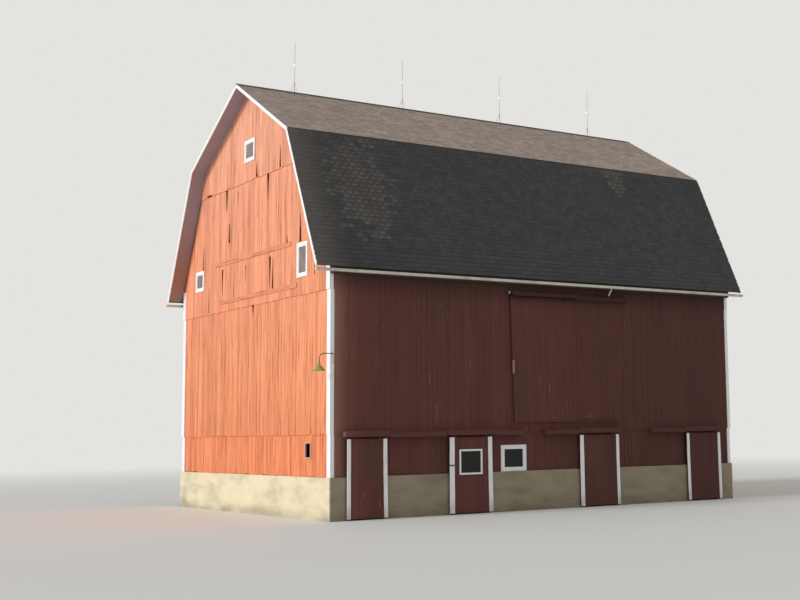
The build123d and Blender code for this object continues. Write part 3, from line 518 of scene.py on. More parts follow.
def make_materials(colours):
    """Every finish of the barn, by the name that the pieces use."""
    bare, worn = colours.bare_wood, colours.worn_shingle
    # The sunny copies of the board paint carry painted sunlight and the shady copies painted shade, on top of
    # real fading and wear.
    sunny = (colours.gable_paint_painted_sunlit, colours.gable_grain_painted_sunlit, bare)
    shady = (colours.side_paint_painted_shade, colours.side_grain_painted_shade, bare)
    MATERIALS.update(
        sunny=worn_board_paint("sun_faded_oil_paint_and_painted_sunlight", *sunny, 0.3, gable_fade),
        shady=worn_board_paint("weathered_oil_paint_and_painted_shade", *shady, 0.7, side_fade_and_painted_shade, streaked=0.4),
        shady_flat=worn_board_paint("weathered_oil_paint_lying_and_painted_shade", *shady, 0.5, side_fade_and_painted_shade, axis=0,
                                    streaked=0.4),
        sunny_flat=worn_board_paint("sun_faded_oil_paint_lying_and_painted_sunlight", *sunny, 0.2, gable_fade, axis=1),
        # The two slopes' granules differ partly as painted sunlight and shade.
        upper=shingle_granules("asphalt_shingles_brown", colours.upper_shingle_with_painted_light, worn, 0.0, 0.3),
        lower=shingle_granules("asphalt_shingles_grey", colours.lower_shingle_with_painted_shade, worn, 0.35, 0.1),
        white=weathered_paint("white_house_paint", colours.white_paint, colours.white_dirt),
        # The vents' frames take a cream-brown that is painted shade.
        casing=weathered_paint("white_casing_paint", colours.white_paint, colours.white_dirt,
                               vent_painted_shade=linear("#d3a892")),
        soffit=weathered_paint("dark_soffit_paint", colours.soffit_paint, linear("#957270"), axis=0,
                               roughness=0.8, cracked=0.2, fade=soffit_fade),
        # The eave boards' paint and its darker dirt are painted shade.
        eave=weathered_paint("eave_boards_painted_shade", colours.eave_paint_painted_shade, linear("#33241f"), axis=0, roughness=0.8),
        plaster=plaster_coat("lime_plaster", colours.plaster, colours.gable_plaster_painted_sunlight, colours.plaster_stain),
        gutter=metal("painted_gutter_sheet", colours.gutter, 0.0, 0.45, rust=0.25),
        timber=rough_timber("rough_sawn_timber", colours.timber),
        scar=rough_timber("bare_scarred_wood", linear("#907068")),
        handle=rough_timber("bare_handle_wood", bare),
        steel=metal("weathered_galvanised_steel", colours.steel, 0.7, 0.6, rust=0.7),
        rod=metal("dull_rod_metal", linear("#9a9a98"), 0.8, 0.5),
        lamp=metal("olive_enamel", colours.lamp, 0.0, 0.3, rust=0.15),
        lamp_arm=metal("weathered_lamp_pipe", colours.lamp_arm, 0.0, 0.6, rust=0.3,
                       plate=(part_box("lamp_arm")[1].y - 0.0085, colours.lamp_plate)),
        glass=dusty_glass("old_window_glass", (colours.front_pane_painted_shade, colours.front_dust_and_painted_shade),
                          (colours.gable_pane_painted_reflection, colours.gable_dust_and_painted_reflection), 0.25),
        milk=milk_glass_painted_glow("milk_glass_painted_glow"),
    )


def dress(finish, *names):
    """Gives CAD nodes a finish."""
    for name in names:
        mesh = NODES[name].data
        mesh.materials.clear()
        mesh.materials.append(MATERIALS[finish])


def merged(node):
    """A copy of a CAD node's mesh with its loose triangles joined, as a bmesh."""
    shape = bmesh.new()
    shape.from_mesh(NODES[node].data)
    bmesh.ops.remove_doubles(shape, verts=shape.verts, dist=1e-5)
    return shape


def islands(node):
    """The low and high corners of each solid of a CAD node."""
    shape = merged(node)
    unseen = set(shape.verts)
    boxes = []
    while unseen:
        solid = [unseen.pop()]
        for vertex in solid:
            for edge in vertex.link_edges:
                other = edge.other_vert(vertex)
                if other in unseen:
                    unseen.remove(other)
                    solid.append(other)
        boxes.append([Vector([pick(v.co[i] for v in solid) for i in range(3)]) for pick in (min, max)])
    shape.free()
    return sorted(boxes, key=lambda box: tuple(box[0]))


def object_from(name, shape):
    """A linked object made from a bmesh, which is freed."""
    mesh = bpy.data.meshes.new(name)
    shape.to_mesh(mesh)
    shape.free()
    made = bpy.data.objects.new(name, mesh)
    bpy.context.scene.collection.objects.link(made)
    return made


def evaluated_mesh(made):
    """The mesh of an object with its modifiers, as a new plain mesh."""
    graph = bpy.context.evaluated_depsgraph_get()
    graph.update()
    return bpy.data.meshes.new_from_object(made.evaluated_get(graph), depsgraph=graph)


def with_mesh(made, mesh):
    """An object with a new mesh and no modifiers."""
    made.modifiers.clear()
    made.data = mesh
    return made


def carved(stock, tool, operation):
    """Cuts the mesh of stock by a tool, which is deleted."""
    cut = stock.modifiers.new("carve", "BOOLEAN")
    cut.operation, cut.solver, cut.object = operation, "EXACT", tool
    with_mesh(stock, evaluated_mesh(stock))
    bpy.data.objects.remove(tool)


def finish_piece(made, body, finish=None, replaces=()):
    """Gives a piece its finish where one is given, puts it on its body, and hides the nodes that it stands
    for.
    """
    if finish:
        made.data.materials.clear()
        made.data.materials.append(MATERIALS[finish])
    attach(made, body)
    if replaces:
        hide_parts(*replaces)


def add_solid(shape, outlines):
    """Adds a solid through a row of outlines with as many corners each, and gives their vertices."""
    rings = [[shape.verts.new(point) for point in outline] for outline in outlines]
    shape.faces.new(reversed(rings[0]))
    shape.faces.new(rings[-1])
    for below, above in zip(rings, rings[1:]):
        for i in range(len(below)):
            j = (i + 1) % len(below)
            shape.faces.new((below[i], below[j], above[j], above[i]))
    return rings


def add_block(shape, low, high, parts=1):
    """Adds a box between two corners to a bmesh, cut into parts along its height."""
    rim = ((low[0], low[1]), (high[0], low[1]), (high[0], high[1]), (low[0], high[1]))
    heights = [low[2] + (high[2] - low[2]) * step / parts for step in range(parts + 1)]
    return add_solid(shape, [[(x, y, z) for x, y in rim] for z in heights])


def add_frame(shape, low, high, width, normal):
    """Adds four boards round a rectangle that faces along the normal's axis."""
    across = 1 - normal
    left, right, foot, head = low[across], high[across], low[2], high[2]
    for start, end, bottom, top in ((left, right, head - width, head), (left, right, foot, foot + width),
                                    (left, left + width, foot + width, head - width),
                                    (right - width, right, foot + width, head - width)):
        near, far = Vector(low), Vector(high)
        near[across], far[across], near[2], far[2] = start, end, bottom, top
        add_block(shape, near, far)


def faced_out(name, shape):
    """A linked object made from a bmesh of closed solids, their faces turned outwards."""
    bmesh.ops.recalc_face_normals(shape, faces=shape.faces)
    return object_from(name, shape)


def board_joints(start, end, narrow, wide, chance):
    """Places of the joints between boards of uneven width."""
    joints = [start]
    while end - joints[-1] > wide + narrow:
        joints.append(joints[-1] + chance.uniform(narrow, wide))
    rest = end - joints[-1]
    if rest > wide:
        joints.append(joints[-1] + rest / 2)
    joints.append(end)
    return joints


def outline_tool(node, normal, side):
    """A node's own solids on one side of the barn, thickened, as the outline that its boards are cut to."""
    shape = merged(node)
    if normal == 0:
        away = [v for v in shape.verts if v.co.x * side < 0]
        bmesh.ops.delete(shape, geom=away, context="VERTS")
    faces = [v.co[normal] for v in shape.verts]
    middle = (min(faces) + max(faces)) / 2
    for v in shape.verts:
        v.co[normal] = middle + (v.co[normal] - middle) * OUTLINE_STRETCH
    extent = [(min(v.co[i] for v in shape.verts), max(v.co[i] for v in shape.verts)) for i in range(3)]
    return object_from(node + "_outline", shape), extent, max(f * side for f in faces)


def slit_tool(slits, face):
    """Wedges that take slivers out of the near gable's boards."""
    shape = bmesh.new()
    for across, top, foot, top_width, foot_width in slits:
        corners = ((across - foot_width / 2, foot), (across + foot_width / 2, foot),
                   (across + top_width / 2, top), (across - top_width / 2, top))
        add_solid(shape, [[(x, y, z) for y, z in corners] for x in (face - WEDGE_REACH, face + WEDGE_REACH)])
    return faced_out("slits", shape)


def siding(node, sizes, normal, side, slits=()):
    """One tier of vertical boards on one face of the barn, cut to the outline of its CAD node."""
    tier = {**GABLE_TIERS, **SIDE_TIERS}[node]
    chance = Random(sizes.seed * 100 + tier * 10 + side)
    across = 1 - normal
    tool, extent, face = outline_tool(node, normal, side)
    start, end = extent[across]
    joints = board_joints(start, end, sizes.narrow, sizes.wide, chance)
    shape = bmesh.new()
    foot, head = extent[2]
    # The boards of the strip over the doorways run on into the ones below, so their feet are even.
    wander = 0.0 if node == "front_header_siding" else sizes.foot_wander
    for left, right in zip(joints, joints[1:]):
        gap = chance.choice(JOINT_SHARES) * sizes.joint / 2
        proud = chance.uniform(-sizes.warp, sizes.warp) / 2
        low, high = [0.0] * 3, [0.0] * 3
        low[across], high[across] = left + gap, right - gap
        low[normal], high[normal] = sorted((side * (face - sizes.thickness + proud), side * (face + proud)))
        cut = chance.choice(CUT_SHARES) * wander * chance.random()
        # The outline cuts the boards, so they begin and end a little outside it.
        low[2], high[2] = foot + cut - 0.0005, head + 0.02
        add_block(shape, low, high, parts=6)
    boards = object_from(f"{node}_boards_{'near' if side < 0 else 'far'}", shape)
    carved(boards, tool, "INTERSECT")
    if slits:
        carved(boards, slit_tool(slits, side * face), "DIFFERENCE")
    warp_boards(boards.data, joints, across, normal, sizes.warp, chance)
    return boards


def board_at(joints, place):
    """Which board between the joints a place is on."""
    return min(max(bisect_right(joints, place) - 1, 0), len(joints) - 2)


def keep_tones(mesh, joints, across, tones):
    """Keeps each board's tone on its faces."""
    tone = mesh.attributes.new("tone", "FLOAT", "FACE")
    for polygon in mesh.polygons:
        tone.data[polygon.index].value = tones[board_at(joints, polygon.center[across])]


def warp_boards(mesh, joints, across, normal, warp, chance):
    """Cups and bows each board a little, and keeps its tone."""
    habits = [(chance.uniform(-1, 1), chance.uniform(-1, 1), chance.uniform(0, 6), chance.random())
              for _ in joints]
    for vertex in mesh.vertices:
        which = board_at(joints, vertex.co[across])
        cup, bow, phase, _ = habits[which]
        reach = (vertex.co[across] - (joints[which] + joints[which + 1]) / 2) / HALF_BOARD
        vertex.co[normal] += warp * 0.5 * (cup * reach + bow * sin(vertex.co.z * 1.7 + phase))
    keep_tones(mesh, joints, across, [tone for _, _, _, tone in habits])


class BARN_OT_gable_boards(Operator):
    """Boards of the two gable walls, with the slivers that the near one has lost"""

    bl_idname = "barn.gable_boards"
    bl_label = "Gable boards"

    def execute(self, context):
        sizes = context.scene.barn.boards
        for node in GABLE_TIERS:
            low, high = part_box(node)
            slits = [slit for slit in GABLE_SLITS if slit[1] > low.z and slit[2] < high.z]
            for side, missing in ((-1, slits), (1, ())):
                finish_piece(siding(node, sizes, 0, side, missing), "barn", "sunny", [node])
        return {"FINISHED"}


class BARN_OT_side_boards(Operator):
    """Boards of the two long walls"""

    bl_idname = "barn.side_boards"
    bl_label = "Side boards"

    def execute(self, context):
        sizes = context.scene.barn.boards
        for node in SIDE_TIERS:
            side = -1 if node.startswith("front") else 1
            finish_piece(siding(node, sizes, 1, side), "barn", "shady", [node])
        return {"FINISHED"}


def door_leaf(node, body, sizes, chance):
    """A door of vertical boards on ledges at its back, cut to the outline of its CAD leaf."""
    tool, extent, _ = outline_tool(node, 1, -1)
    start, end = extent[0]
    foot, head = extent[2]
    low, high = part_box(node)
    back = low.y + (high.y - low.y) * DOOR_BOARD_SHARE
    count = max(2, round((end - start) / sizes.door_board))
    joints = [start + (end - start) * i / count for i in range(count + 1)]
    shape = bmesh.new()
    for left, right in zip(joints, joints[1:]):
        add_block(shape, (left + DOOR_HALF_JOINT, low.y, foot), (right - DOOR_HALF_JOINT, back, head),
                  parts=5)
    ledges = 3 if head - foot < 3 else 4
    for i in range(ledges):
        level = foot + (head - foot) * (0.1 + 0.8 * i / (ledges - 1))
        add_block(shape, (start + LEDGE_END, back + LEDGE_GAP, level - LEDGE_HALF),
                  (end - LEDGE_END, high.y, level + LEDGE_HALF))
    leaf = object_from(node + "_boards", shape)
    carved(leaf, tool, "INTERSECT")
    keep_tones(leaf.data, joints, 0, [chance.random() for _ in joints])
    if node == "mow_door":
        at_head, at_foot = MOW_DOOR_LEAN
        for vertex in leaf.data.vertices:
            rise = (vertex.co.z - foot) / (head - foot)
            share = (end - vertex.co.x) / (end - start)
            vertex.co.x += share * (at_foot + (at_head - at_foot) * rise)
    finish_piece(leaf, body, "shady", [node])


def edge_boards(k):
    """The white boards down the edges of a door, waney and sprung at the foot."""
    node = f"door_{k}_edge_boards"
    shape = bmesh.new()
    for place, ((low, high), sprung, widened) in enumerate(zip(islands(node), SPRUNG[k], WIDENED[k])):
        low.x -= widened * place
        high.x += widened * (1 - place)
        for ring in add_block(shape, low, high, parts=12):
            drop = (high.z - ring[0].co.z) / (high.z - low.z)
            for vertex in ring:
                vertex.co.x += sprung * drop ** 1.5 + noise.noise(vertex.co * 3) * 0.004
    finish_piece(object_from(node + "_waney", shape), f"door_{k}", "white", [node])


def door_window_frame(sizes):
    """The thin frame round the window in door 2."""
    shape = bmesh.new()
    low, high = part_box("door_2_window_frame")
    add_frame(shape, low, high, sizes.door_frame, 1)
    finish_piece(object_from("door_2_window_boards", shape), "door_2", "white",
                 ["door_2_window_frame"])


class BARN_OT_doors(Operator):
    """Board-and-ledge doors: four that slide and the fixed one above"""

    bl_idname = "barn.doors"
    bl_label = "Doors"

    def execute(self, context):
        sizes = context.scene.barn.boards
        chance = Random(sizes.seed + 40)
        door_leaf("mow_door", "barn", sizes, chance)
        for k in STABLE_DOORS:
            door_leaf(f"stable_door_{k}", f"door_{k}", sizes, chance)
            edge_boards(k)
            dress("shady", f"door_{k}_hangers")
        dress("shady", "mow_door_hangers")
        door_window_frame(context.scene.barn.trim)
        dress("glass", "door_2_window_glass")
        return {"FINISHED"}


def new_tree(name, sizes):
    """A Geometry Nodes tree with named number inputs, one mesh, one material and one geometry output."""
    tree = bpy.data.node_groups.new(name, "GeometryNodeTree")
    tree.interface.new_socket("Base", in_out="INPUT", socket_type="NodeSocketGeometry")
    for size, value in sizes.items():
        kind = "NodeSocketInt" if isinstance(value, int) else "NodeSocketFloat"
        tree.interface.new_socket(size, in_out="INPUT", socket_type=kind).default_value = value
    tree.interface.new_socket("Material", in_out="INPUT", socket_type="NodeSocketMaterial")
    tree.interface.new_socket("Geometry", in_out="OUTPUT", socket_type="NodeSocketGeometry")
    return tree, partial(add_node, tree), tree.nodes.new("NodeGroupInput").outputs


def ended(tree, instances, material):
    """Makes a tree's instances real, sets their material and passes them out."""
    real = add_node(tree, "GeometryNodeRealizeInstances", instances)
    painted = add_node(tree, "GeometryNodeSetMaterial", {"Geometry": real, "Material": material})
    tree.links.new(painted, tree.nodes.new("NodeGroupOutput").inputs["Geometry"])
    return tree


def grown(name, tree, values, base=None):
    """A plain mesh object from a tree with its inputs set, on the points of a base where one is given."""
    made = object_from(name, base or bmesh.new())
    grow = made.modifiers.new("grow", "NODES")
    grow.node_group = tree
    for socket in tree.interface.items_tree:
        if socket.in_out == "INPUT" and socket.name in values:
            grow[socket.identifier] = values[socket.name]
    return with_mesh(made, evaluated_mesh(made))


def shingle_tree():
    """Courses of tabs on a flat slope: x along the eave, y up the slope, z out of the roof."""
    tree, add, given = new_tree("shingle_courses", {
        "Length": 1.0, "Slope": 1.0, "Exposure": 0.1, "Tab": 0.3, "Slot": 0.01, "Butt": 0.006, "Seed": 0,
        **{f"{word} {size}": 0.001 for word in WORN_PATCHES for size in PATCH_SIZES}})
    run, slope, exposure, tab_width, slot, butt, seed = [given[size] for size in (
        "Length", "Slope", "Exposure", "Tab", "Slot", "Butt", "Seed")]
    columns = add("ADD", add("CEIL", add("DIVIDE", run, tab_width)), 1.0)
    courses = add("FLOOR", add("DIVIDE", slope, exposure))
    points = add("GeometryNodePoints", add("MULTIPLY", columns, courses))
    index = add("GeometryNodeInputIndex")
    course = add("FLOOR", add("DIVIDE", add("ADD", index, 0.5), columns))
    column = add("SUBTRACT", index, add("MULTIPLY", course, columns))
    # Every second course is shifted by half a tab, and each one a little by chance.
    stagger = add("MULTIPLY", add("FRACT", add("MULTIPLY", course, 0.5)), tab_width)
    stagger = add("ADD", stagger, add("chance", 0.0, COURSE_SHIFT, course, seed))
    left = add("SUBTRACT", add("MULTIPLY", column, tab_width), stagger)
    right = add("MINIMUM", add("ADD", left, tab_width), run)
    left = add("MAXIMUM", left, 0.0)
    width = add("SUBTRACT", add("SUBTRACT", right, left), slot)
    foot = add("ADD", add("MULTIPLY", course, exposure),
               add("chance", 0.0, TAB_LIFT, index, add("ADD", seed, 3.0)))
    long = add("MULTIPLY", exposure, COURSE_LAP)
    reach = add("MINIMUM", long, add("SUBTRACT", slope, foot))
    middle = add("SUBTRACT", add("MULTIPLY", add("ADD", left, right), 0.5), add("MULTIPLY", run, 0.5))
    laid = add("GeometryNodeSetPosition", {"Geometry": points, "Position": add("point", middle, foot, butt)})
    whole = add("FunctionNodeCompare", width, LEAST_TAB, operation="GREATER_THAN", data_type="FLOAT")
    tab = add("GeometryNodeTransform", add("GeometryNodeMeshCube", (1.0, 1.0, 1.0)), (0.0, 0.5, 0.5))
    for name, axis in (("across", "X"), ("up", "Y")):
        place = add("ShaderNodeSeparateXYZ", add("GeometryNodeInputPosition"), out=axis)
        tab = add("store", tab, name, place, domain="POINT")
    lean = add("MULTIPLY", add("ARCTANGENT", add("DIVIDE", butt, long)), -1.0)
    tabs = add("GeometryNodeInstanceOnPoints", {
        "Points": laid, "Selection": whole, "Instance": tab, "Rotation": add("point", lean),
        "Scale": add("point", width, reach, butt)})
    tone = add("chance", 0.0, 1.0, index, add("ADD", seed, 7.0))
    tabs = add("store", tabs, "tone", tone, domain="INSTANCE")
    # A tab is the likelier to be worn the nearer it is to the middle of a worn patch.
    odds = 0.0
    for word in WORN_PATCHES:
        along, up, patch_reach = (given[f"{word} {size}"] for size in PATCH_SIZES)
        away = add("ShaderNodeVectorMath", add("GeometryNodeInputPosition"), add("point", along, up),
                   operation="SUBTRACT")
        away = add("ShaderNodeVectorMath", away, (1.7, 1.0, 1.0), operation="MULTIPLY")
        away = add("ShaderNodeVectorMath", away, out="Value", operation="LENGTH")
        odds = add("MAXIMUM", add("SUBTRACT", 1.0, add("DIVIDE", away, patch_reach)), odds)
    draw = add("chance", 0.0, 0.5, index, add("ADD", seed, 11.0))
    worn = add("MULTIPLY", add("LESS_THAN", draw, odds),
               add("chance", 0.35, 1.0, index, add("ADD", seed, 13.0)))
    return ended(tree, add("store", tabs, "worn", worn, domain="INSTANCE"), given["Material"])


def cap_tree():
    """Bent tabs lapped along a ridge: x along it, with a flat half of each tab on either slope."""
    tree, add, given = new_tree("ridge_tabs", {"Length": 1.0, "Exposure": 0.1, "Reach": 0.14, "Butt": 0.006,
                                               "Pitch": 0.5, "Seed": 0})
    run, exposure, reach, butt, pitch, seed = [given[size] for size in (
        "Length", "Exposure", "Reach", "Butt", "Pitch", "Seed")]
    long = add("MULTIPLY", exposure, COURSE_LAP)
    count = add("FLOOR", add("SUBTRACT", add("DIVIDE", run, exposure), COURSE_LAP - 1))
    line = add("GeometryNodeMeshLine", {
        "Count": count, "Offset": add("point", exposure),
        "Start Location": add("point", add("MULTIPLY", run, -0.5), 0.0, butt)})
    half = add("GeometryNodeMeshCube", add("point", long, reach, butt))
    bent = tree.nodes.new("GeometryNodeJoinGeometry")
    for side in (-1.0, 1.0):
        lift = add("point", add("MULTIPLY", long, 0.5), add("MULTIPLY", reach, 0.5 * side),
                   add("MULTIPLY", butt, 0.5))
        folded = add("GeometryNodeTransform", {"Geometry": add("GeometryNodeTransform", half, lift),
                                               "Rotation": add("point", add("MULTIPLY", pitch, -side))})
        tree.links.new(folded, bent.inputs[0])
    lean = add("point", 0.0, add("ARCTANGENT", add("DIVIDE", butt, long)))
    tabs = add("GeometryNodeInstanceOnPoints", {"Points": line, "Instance": bent.outputs[0],
                                                "Rotation": lean})
    tone = add("chance", 0.0, 1.0, add("GeometryNodeInputIndex"), seed)
    return ended(tree, add("store", tabs, "tone", tone, domain="INSTANCE"), given["Material"])


def bolt_tree():
    """A round bolt head on each point of a mesh, flattened across the wall."""
    tree, add, given = new_tree("bolt_heads", {"Radius": 0.01})
    head = add("GeometryNodeMeshUVSphere", {"Segments": 10, "Rings": 6, "Radius": given["Radius"]})
    heads = add("GeometryNodeInstanceOnPoints", {"Points": given["Base"], "Instance": head,
                                                 "Scale": (1.0, 0.5, 1.0)})
    return ended(tree, heads, given["Material"])


def slope_place(foot, head, side):
    """Turns a flat slope so that it lies on the roof from its foot to its head, both (y, z)."""
    rise = Vector((0, (head[0] - foot[0]) * side, head[1] - foot[1])).normalized()
    along = Vector((-side, 0, 0))
    turn = Matrix((along, rise, along.cross(rise))).transposed().to_4x4()
    return Matrix.Translation((0, foot[0] * side, foot[1])) @ turn


class BARN_OT_shingles(Operator):
    """Courses of asphalt shingles on the four slopes and bent tabs on the ridge, grown by Geometry Nodes"""

    bl_idname = "barn.shingles"
    bl_label = "Shingles"

    def execute(self, context):
        sizes = context.scene.barn.roof
        tree = shingle_tree()
        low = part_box("roof_front_lower")[0]
        eave = (-low.y, low.z)
        ridge = (0.0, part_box("roof_front_upper")[1].z)
        shared = {"Length": 2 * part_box("barge_boards")[1].x, "Exposure": sizes.exposure, "Butt": sizes.butt}
        number = 0
        for side, word in ((-1, "front"), (1, "back")):
            for part, foot, head in (("lower", eave, ROOF_BREAK), ("upper", ROOF_BREAK, ridge)):
                number += 1
                values = {**shared, "Slope": (Vector(head) - Vector(foot)).length, "Tab": sizes.tab,
                          "Slot": sizes.slot, "Seed": sizes.seed + number, "Material": MATERIALS[part]}
                if (word, part) == ("front", "lower"):
                    for patch, place in zip(WORN_PATCHES, (sizes.worn, sizes.worn_too)):
                        values.update({f"{patch} {size}": value for size, value in zip(PATCH_SIZES, place)})
                made = grown(f"shingles_{word}_{part}", tree, values)
                made.data.transform(slope_place(foot, head, side))
                finish_piece(made, "barn")
                dress(part, f"roof_{word}_{part}")
        low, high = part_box("ridge_cap")
        made = grown("ridge_tabs", cap_tree(), {**shared, "Reach": sizes.cap, "Seed": sizes.seed,
                                                "Pitch": atan2(ridge[1] - low.z, high.y),
                                                "Material": MATERIALS["lower"]})
        made.data.transform(Matrix.Translation((0, 0, high.z)))
        finish_piece(made, "barn")
        dress("lower", "ridge_cap")
        return {"FINISHED"}


def sashes(sizes):
    """A thin sash in every window of the gables."""
    shape = bmesh.new()
    for low, high in islands("window_glass"):
        if high.x - low.x > high.y - low.y:
            continue
        side = 1 if low.x > 0 else -1
        face = high.x if side > 0 else low.x
        near, far = low + Vector([sizes.lap] * 3), high - Vector([sizes.lap] * 3)
        near.x, far.x = sorted((face, face + side * sizes.sash_depth))
        add_frame(shape, near, far, sizes.sash, 0)
    finish_piece(object_from("window_sashes", shape), "barn", "white")


def hood_ends(sizes):
    """Boards that close the open ends of the hoods over the rails, and the upper rail's pale end plate."""
    boxes = islands("door_hoods")
    shape, plate = bmesh.new(), bmesh.new()
    for low, high in boxes:
        for end, facing, way in ((low.x, 1, -1), (high.x, 0, 1)):
            if any(abs(end - other[facing].x) < HOOD_JOINT for other in boxes):
                continue
            rim = [(high.y, high.z), (low.y, high.z - HOOD_FALL), (low.y, low.z), (high.y, low.z)]
            add_solid(shape, [[(x, y, z) for y, z in rim] for x in (end, end + way * sizes.hood_end)])
            if way < 0 and low.z > MOW_FLOOR:
                outside = end - sizes.hood_end
                thick, wide, head, foot = END_PLATE
                add_block(plate, (outside - thick, high.y - wide, high.z - foot),
                          (outside, high.y, high.z - head))
    finish_piece(faced_out("hood_ends", shape), "barn", "shady_flat")
    finish_piece(object_from("mow_rail_end", plate), "barn", "white")


def mow_door_fittings(sizes):
    """The upper door's wooden handle, and the guide board under it."""
    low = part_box("mow_door")[0]
    x, z = HANDLE_PLACE
    shape = bmesh.new()
    add_block(shape, (x - HANDLE_HALF, low.y - HANDLE_HALF, z - sizes.handle / 2),
              (x + HANDLE_HALF, low.y, z + sizes.handle / 2), parts=4)
    finish_piece(object_from("mow_door_handle", shape), "barn", "handle")
    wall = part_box("front_upper_siding")[0].y
    shape = bmesh.new()
    add_block(shape, (GUIDE_SPAN[0], low.y, low.z - sizes.guide), (GUIDE_SPAN[1], wall, low.z))
    finish_piece(object_from("mow_door_guide", shape), "barn", "shady_flat")


def scars():
    """Slivers where the paint has gone from the boards of the front and of two doors."""
    for node, places in SCARS.items():
        shape = bmesh.new()
        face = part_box(node)[0].y
        for x, top, foot, width in places:
            rim = [(share * width + x, foot + (top - foot) * rise) for share, rise in
                   ((0, 0), (0.5, 0.25), (0.35, 0.8), (-0.1, 1), (-0.5, 0.7), (-0.4, 0.2))]
            add_solid(shape, [[(along, y, z) for along, z in rim] for y in (face, face - SCAR_DEPTH)])
        body = "door_1" if node == "stable_door_1" else "barn"
        finish_piece(faced_out(node + "_scars", shape), body, "scar")


class BARN_OT_trim(Operator):
    """Finishes of the trim, soffits, gutters, hoods, windows and hardware"""

    bl_idname = "barn.trim"
    bl_label = "Trim"

    def execute(self, context):
        dress("white", "barge_boards", "corner_boards")
        dress("casing", "window_frames")
        dress("soffit", "gable_soffits")
        dress("eave", "eave_fascias", "eave_soffits")
        dress("gutter", "gutters")
        dress("sunny_flat", "gable_girts")
        dress("shady_flat", "door_hoods")
        dress("glass", "window_glass")
        dress("steel", "door_rails")
        dress("rod", "lightning_rods")
        sizes = context.scene.barn.trim
        sashes(sizes)
        mow_door_fittings(sizes)
        hood_ends(sizes)
        scars()
        return {"FINISHED"}


def hanger_bolts(sizes):
    """Bolt heads on every door's hangers."""
    tree = bolt_tree()
    hung = [(f"door_{k}", f"door_{k}_hangers") for k in STABLE_DOORS] + [("barn", "mow_door_hangers")]
    for body, node in hung:
        points = bmesh.new()
        for low, high in islands(node):
            for share in BOLT_SHARES:
                points.verts.new(((low.x + high.x) / 2, low.y, low.z + (high.z - low.z) * share))
        made = grown(node.replace("hangers", "bolts"), tree,
                     {"Radius": sizes.bolt, "Material": MATERIALS["shady"]}, points)
        finish_piece(made, body)


class BARN_OT_hardware(Operator):
    """Bolts, latch, rod balls and the lamp with its bulb"""

    bl_idname = "barn.hardware"
    bl_label = "Hardware"

    def execute(self, context):
        sizes = context.scene.barn.trim
        hanger_bolts(sizes)

        x, z = LATCH_PLACE
        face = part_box("door_2_edge_boards")[0].y
        shape = bmesh.new()
        wide, tall = LATCH_HALF
        add_block(shape, (x - wide, face - LATCH_DEPTH, z - tall), (x + wide, face, z + tall))
        finish_piece(object_from("door_2_latch", shape), "door_2", "steel")

        shape = bmesh.new()
        for low, high in islands("lightning_balls"):
            bmesh.ops.create_uvsphere(shape, u_segments=24, v_segments=16, radius=(high.z - low.z) / 2,
                                      matrix=Matrix.Translation((low + high) / 2))
        for face in shape.faces:
            face.smooth = True
        finish_piece(object_from("glass_balls", shape), "barn", "milk", ["lightning_balls"])

        dress("lamp_arm", "lamp_arm")
        dress("lamp", "lamp_shade")
        low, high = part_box("lamp_shade")
        middle, bulb = (low + high) / 2, sizes.bulb
        shape = bmesh.new()
        bmesh.ops.create_uvsphere(shape, u_segments=16, v_segments=10, radius=bulb,
                                  matrix=Matrix.Translation((middle.x, middle.y, low.z + 1.6 * bulb)))
        bmesh.ops.create_cone(shape, cap_ends=True, segments=16, radius1=bulb * 0.5, radius2=bulb * 0.5,
                              depth=bulb * 2.4,
                              matrix=Matrix.Translation((middle.x, middle.y, low.z + 3.2 * bulb)))
        # The bulb takes the same milk glass, so it has the same faint painted glow.
        finish_piece(object_from("lamp_bulb", shape), "barn", "milk")
        return {"FINISHED"}


def swell(place):
    """How far the plaster stands out at a place, along X and Y, the same each run."""
    push = Vector((0, 0, 0))
    for often, depth in PLASTER_SWELLS:
        for axis, apart in ((0, 0.0), (1, 31.7)):
            push[axis] += depth * noise.noise(place * often + Vector([apart] * 3))
    return push


class BARN_OT_foundation(Operator):
    """Plastered foundation walls with an uneven face"""

    bl_idname = "barn.foundation"
    bl_label = "Foundation"

    def execute(self, context):
        for node in ("foundation_front", "foundation_back", "foundation_gables"):
            shape = merged(node)
            low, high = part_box(node)
            for axis in range(3):
                count = ceil((high[axis] - low[axis]) / PLASTER_STEP)
                normal = Vector((0, 0, 0))
                normal[axis] = 1
                for i in range(1, count):
                    point = normal * (low[axis] + (high[axis] - low[axis]) * i / count)
                    bmesh.ops.bisect_plane(shape, geom=shape.verts[:] + shape.edges[:] + shape.faces[:],
                                           plane_co=point, plane_no=normal, dist=1e-4)
            for vertex in shape.verts:
                vertex.co += swell(vertex.co)
            finish_piece(object_from(node + "_plastered", shape), "barn", "plaster", [node])
        return {"FINISHED"}


class BARN_OT_timbers(Operator):
    """Finish of the floor and the frame inside"""

    bl_idname = "barn.timbers"
    bl_label = "Timbers"

    def execute(self, context):
        dress("timber", "mow_floor", "floor_joists", "floor_beams", "stable_posts", "bent_posts", "bent_ties",
              "bent_braces", "purlins", "rafters")
        return {"FINISHED"}


def camera_matrix(stage):
    """Place and turn of the photograph's camera."""
    ahead = Vector((sin(stage.heading) * cos(stage.rise), cos(stage.heading) * cos(stage.rise),
                    sin(stage.rise)))
    level = Vector((cos(stage.heading), -sin(stage.heading), 0))
    above = level.cross(ahead)
    right = level * cos(stage.roll) + above * sin(stage.roll)
    up = above * cos(stage.roll) - level * sin(stage.roll)
    turn = Matrix((right, up, -ahead)).transposed().to_4x4()
    return Matrix.Translation(stage.eye) @ turn


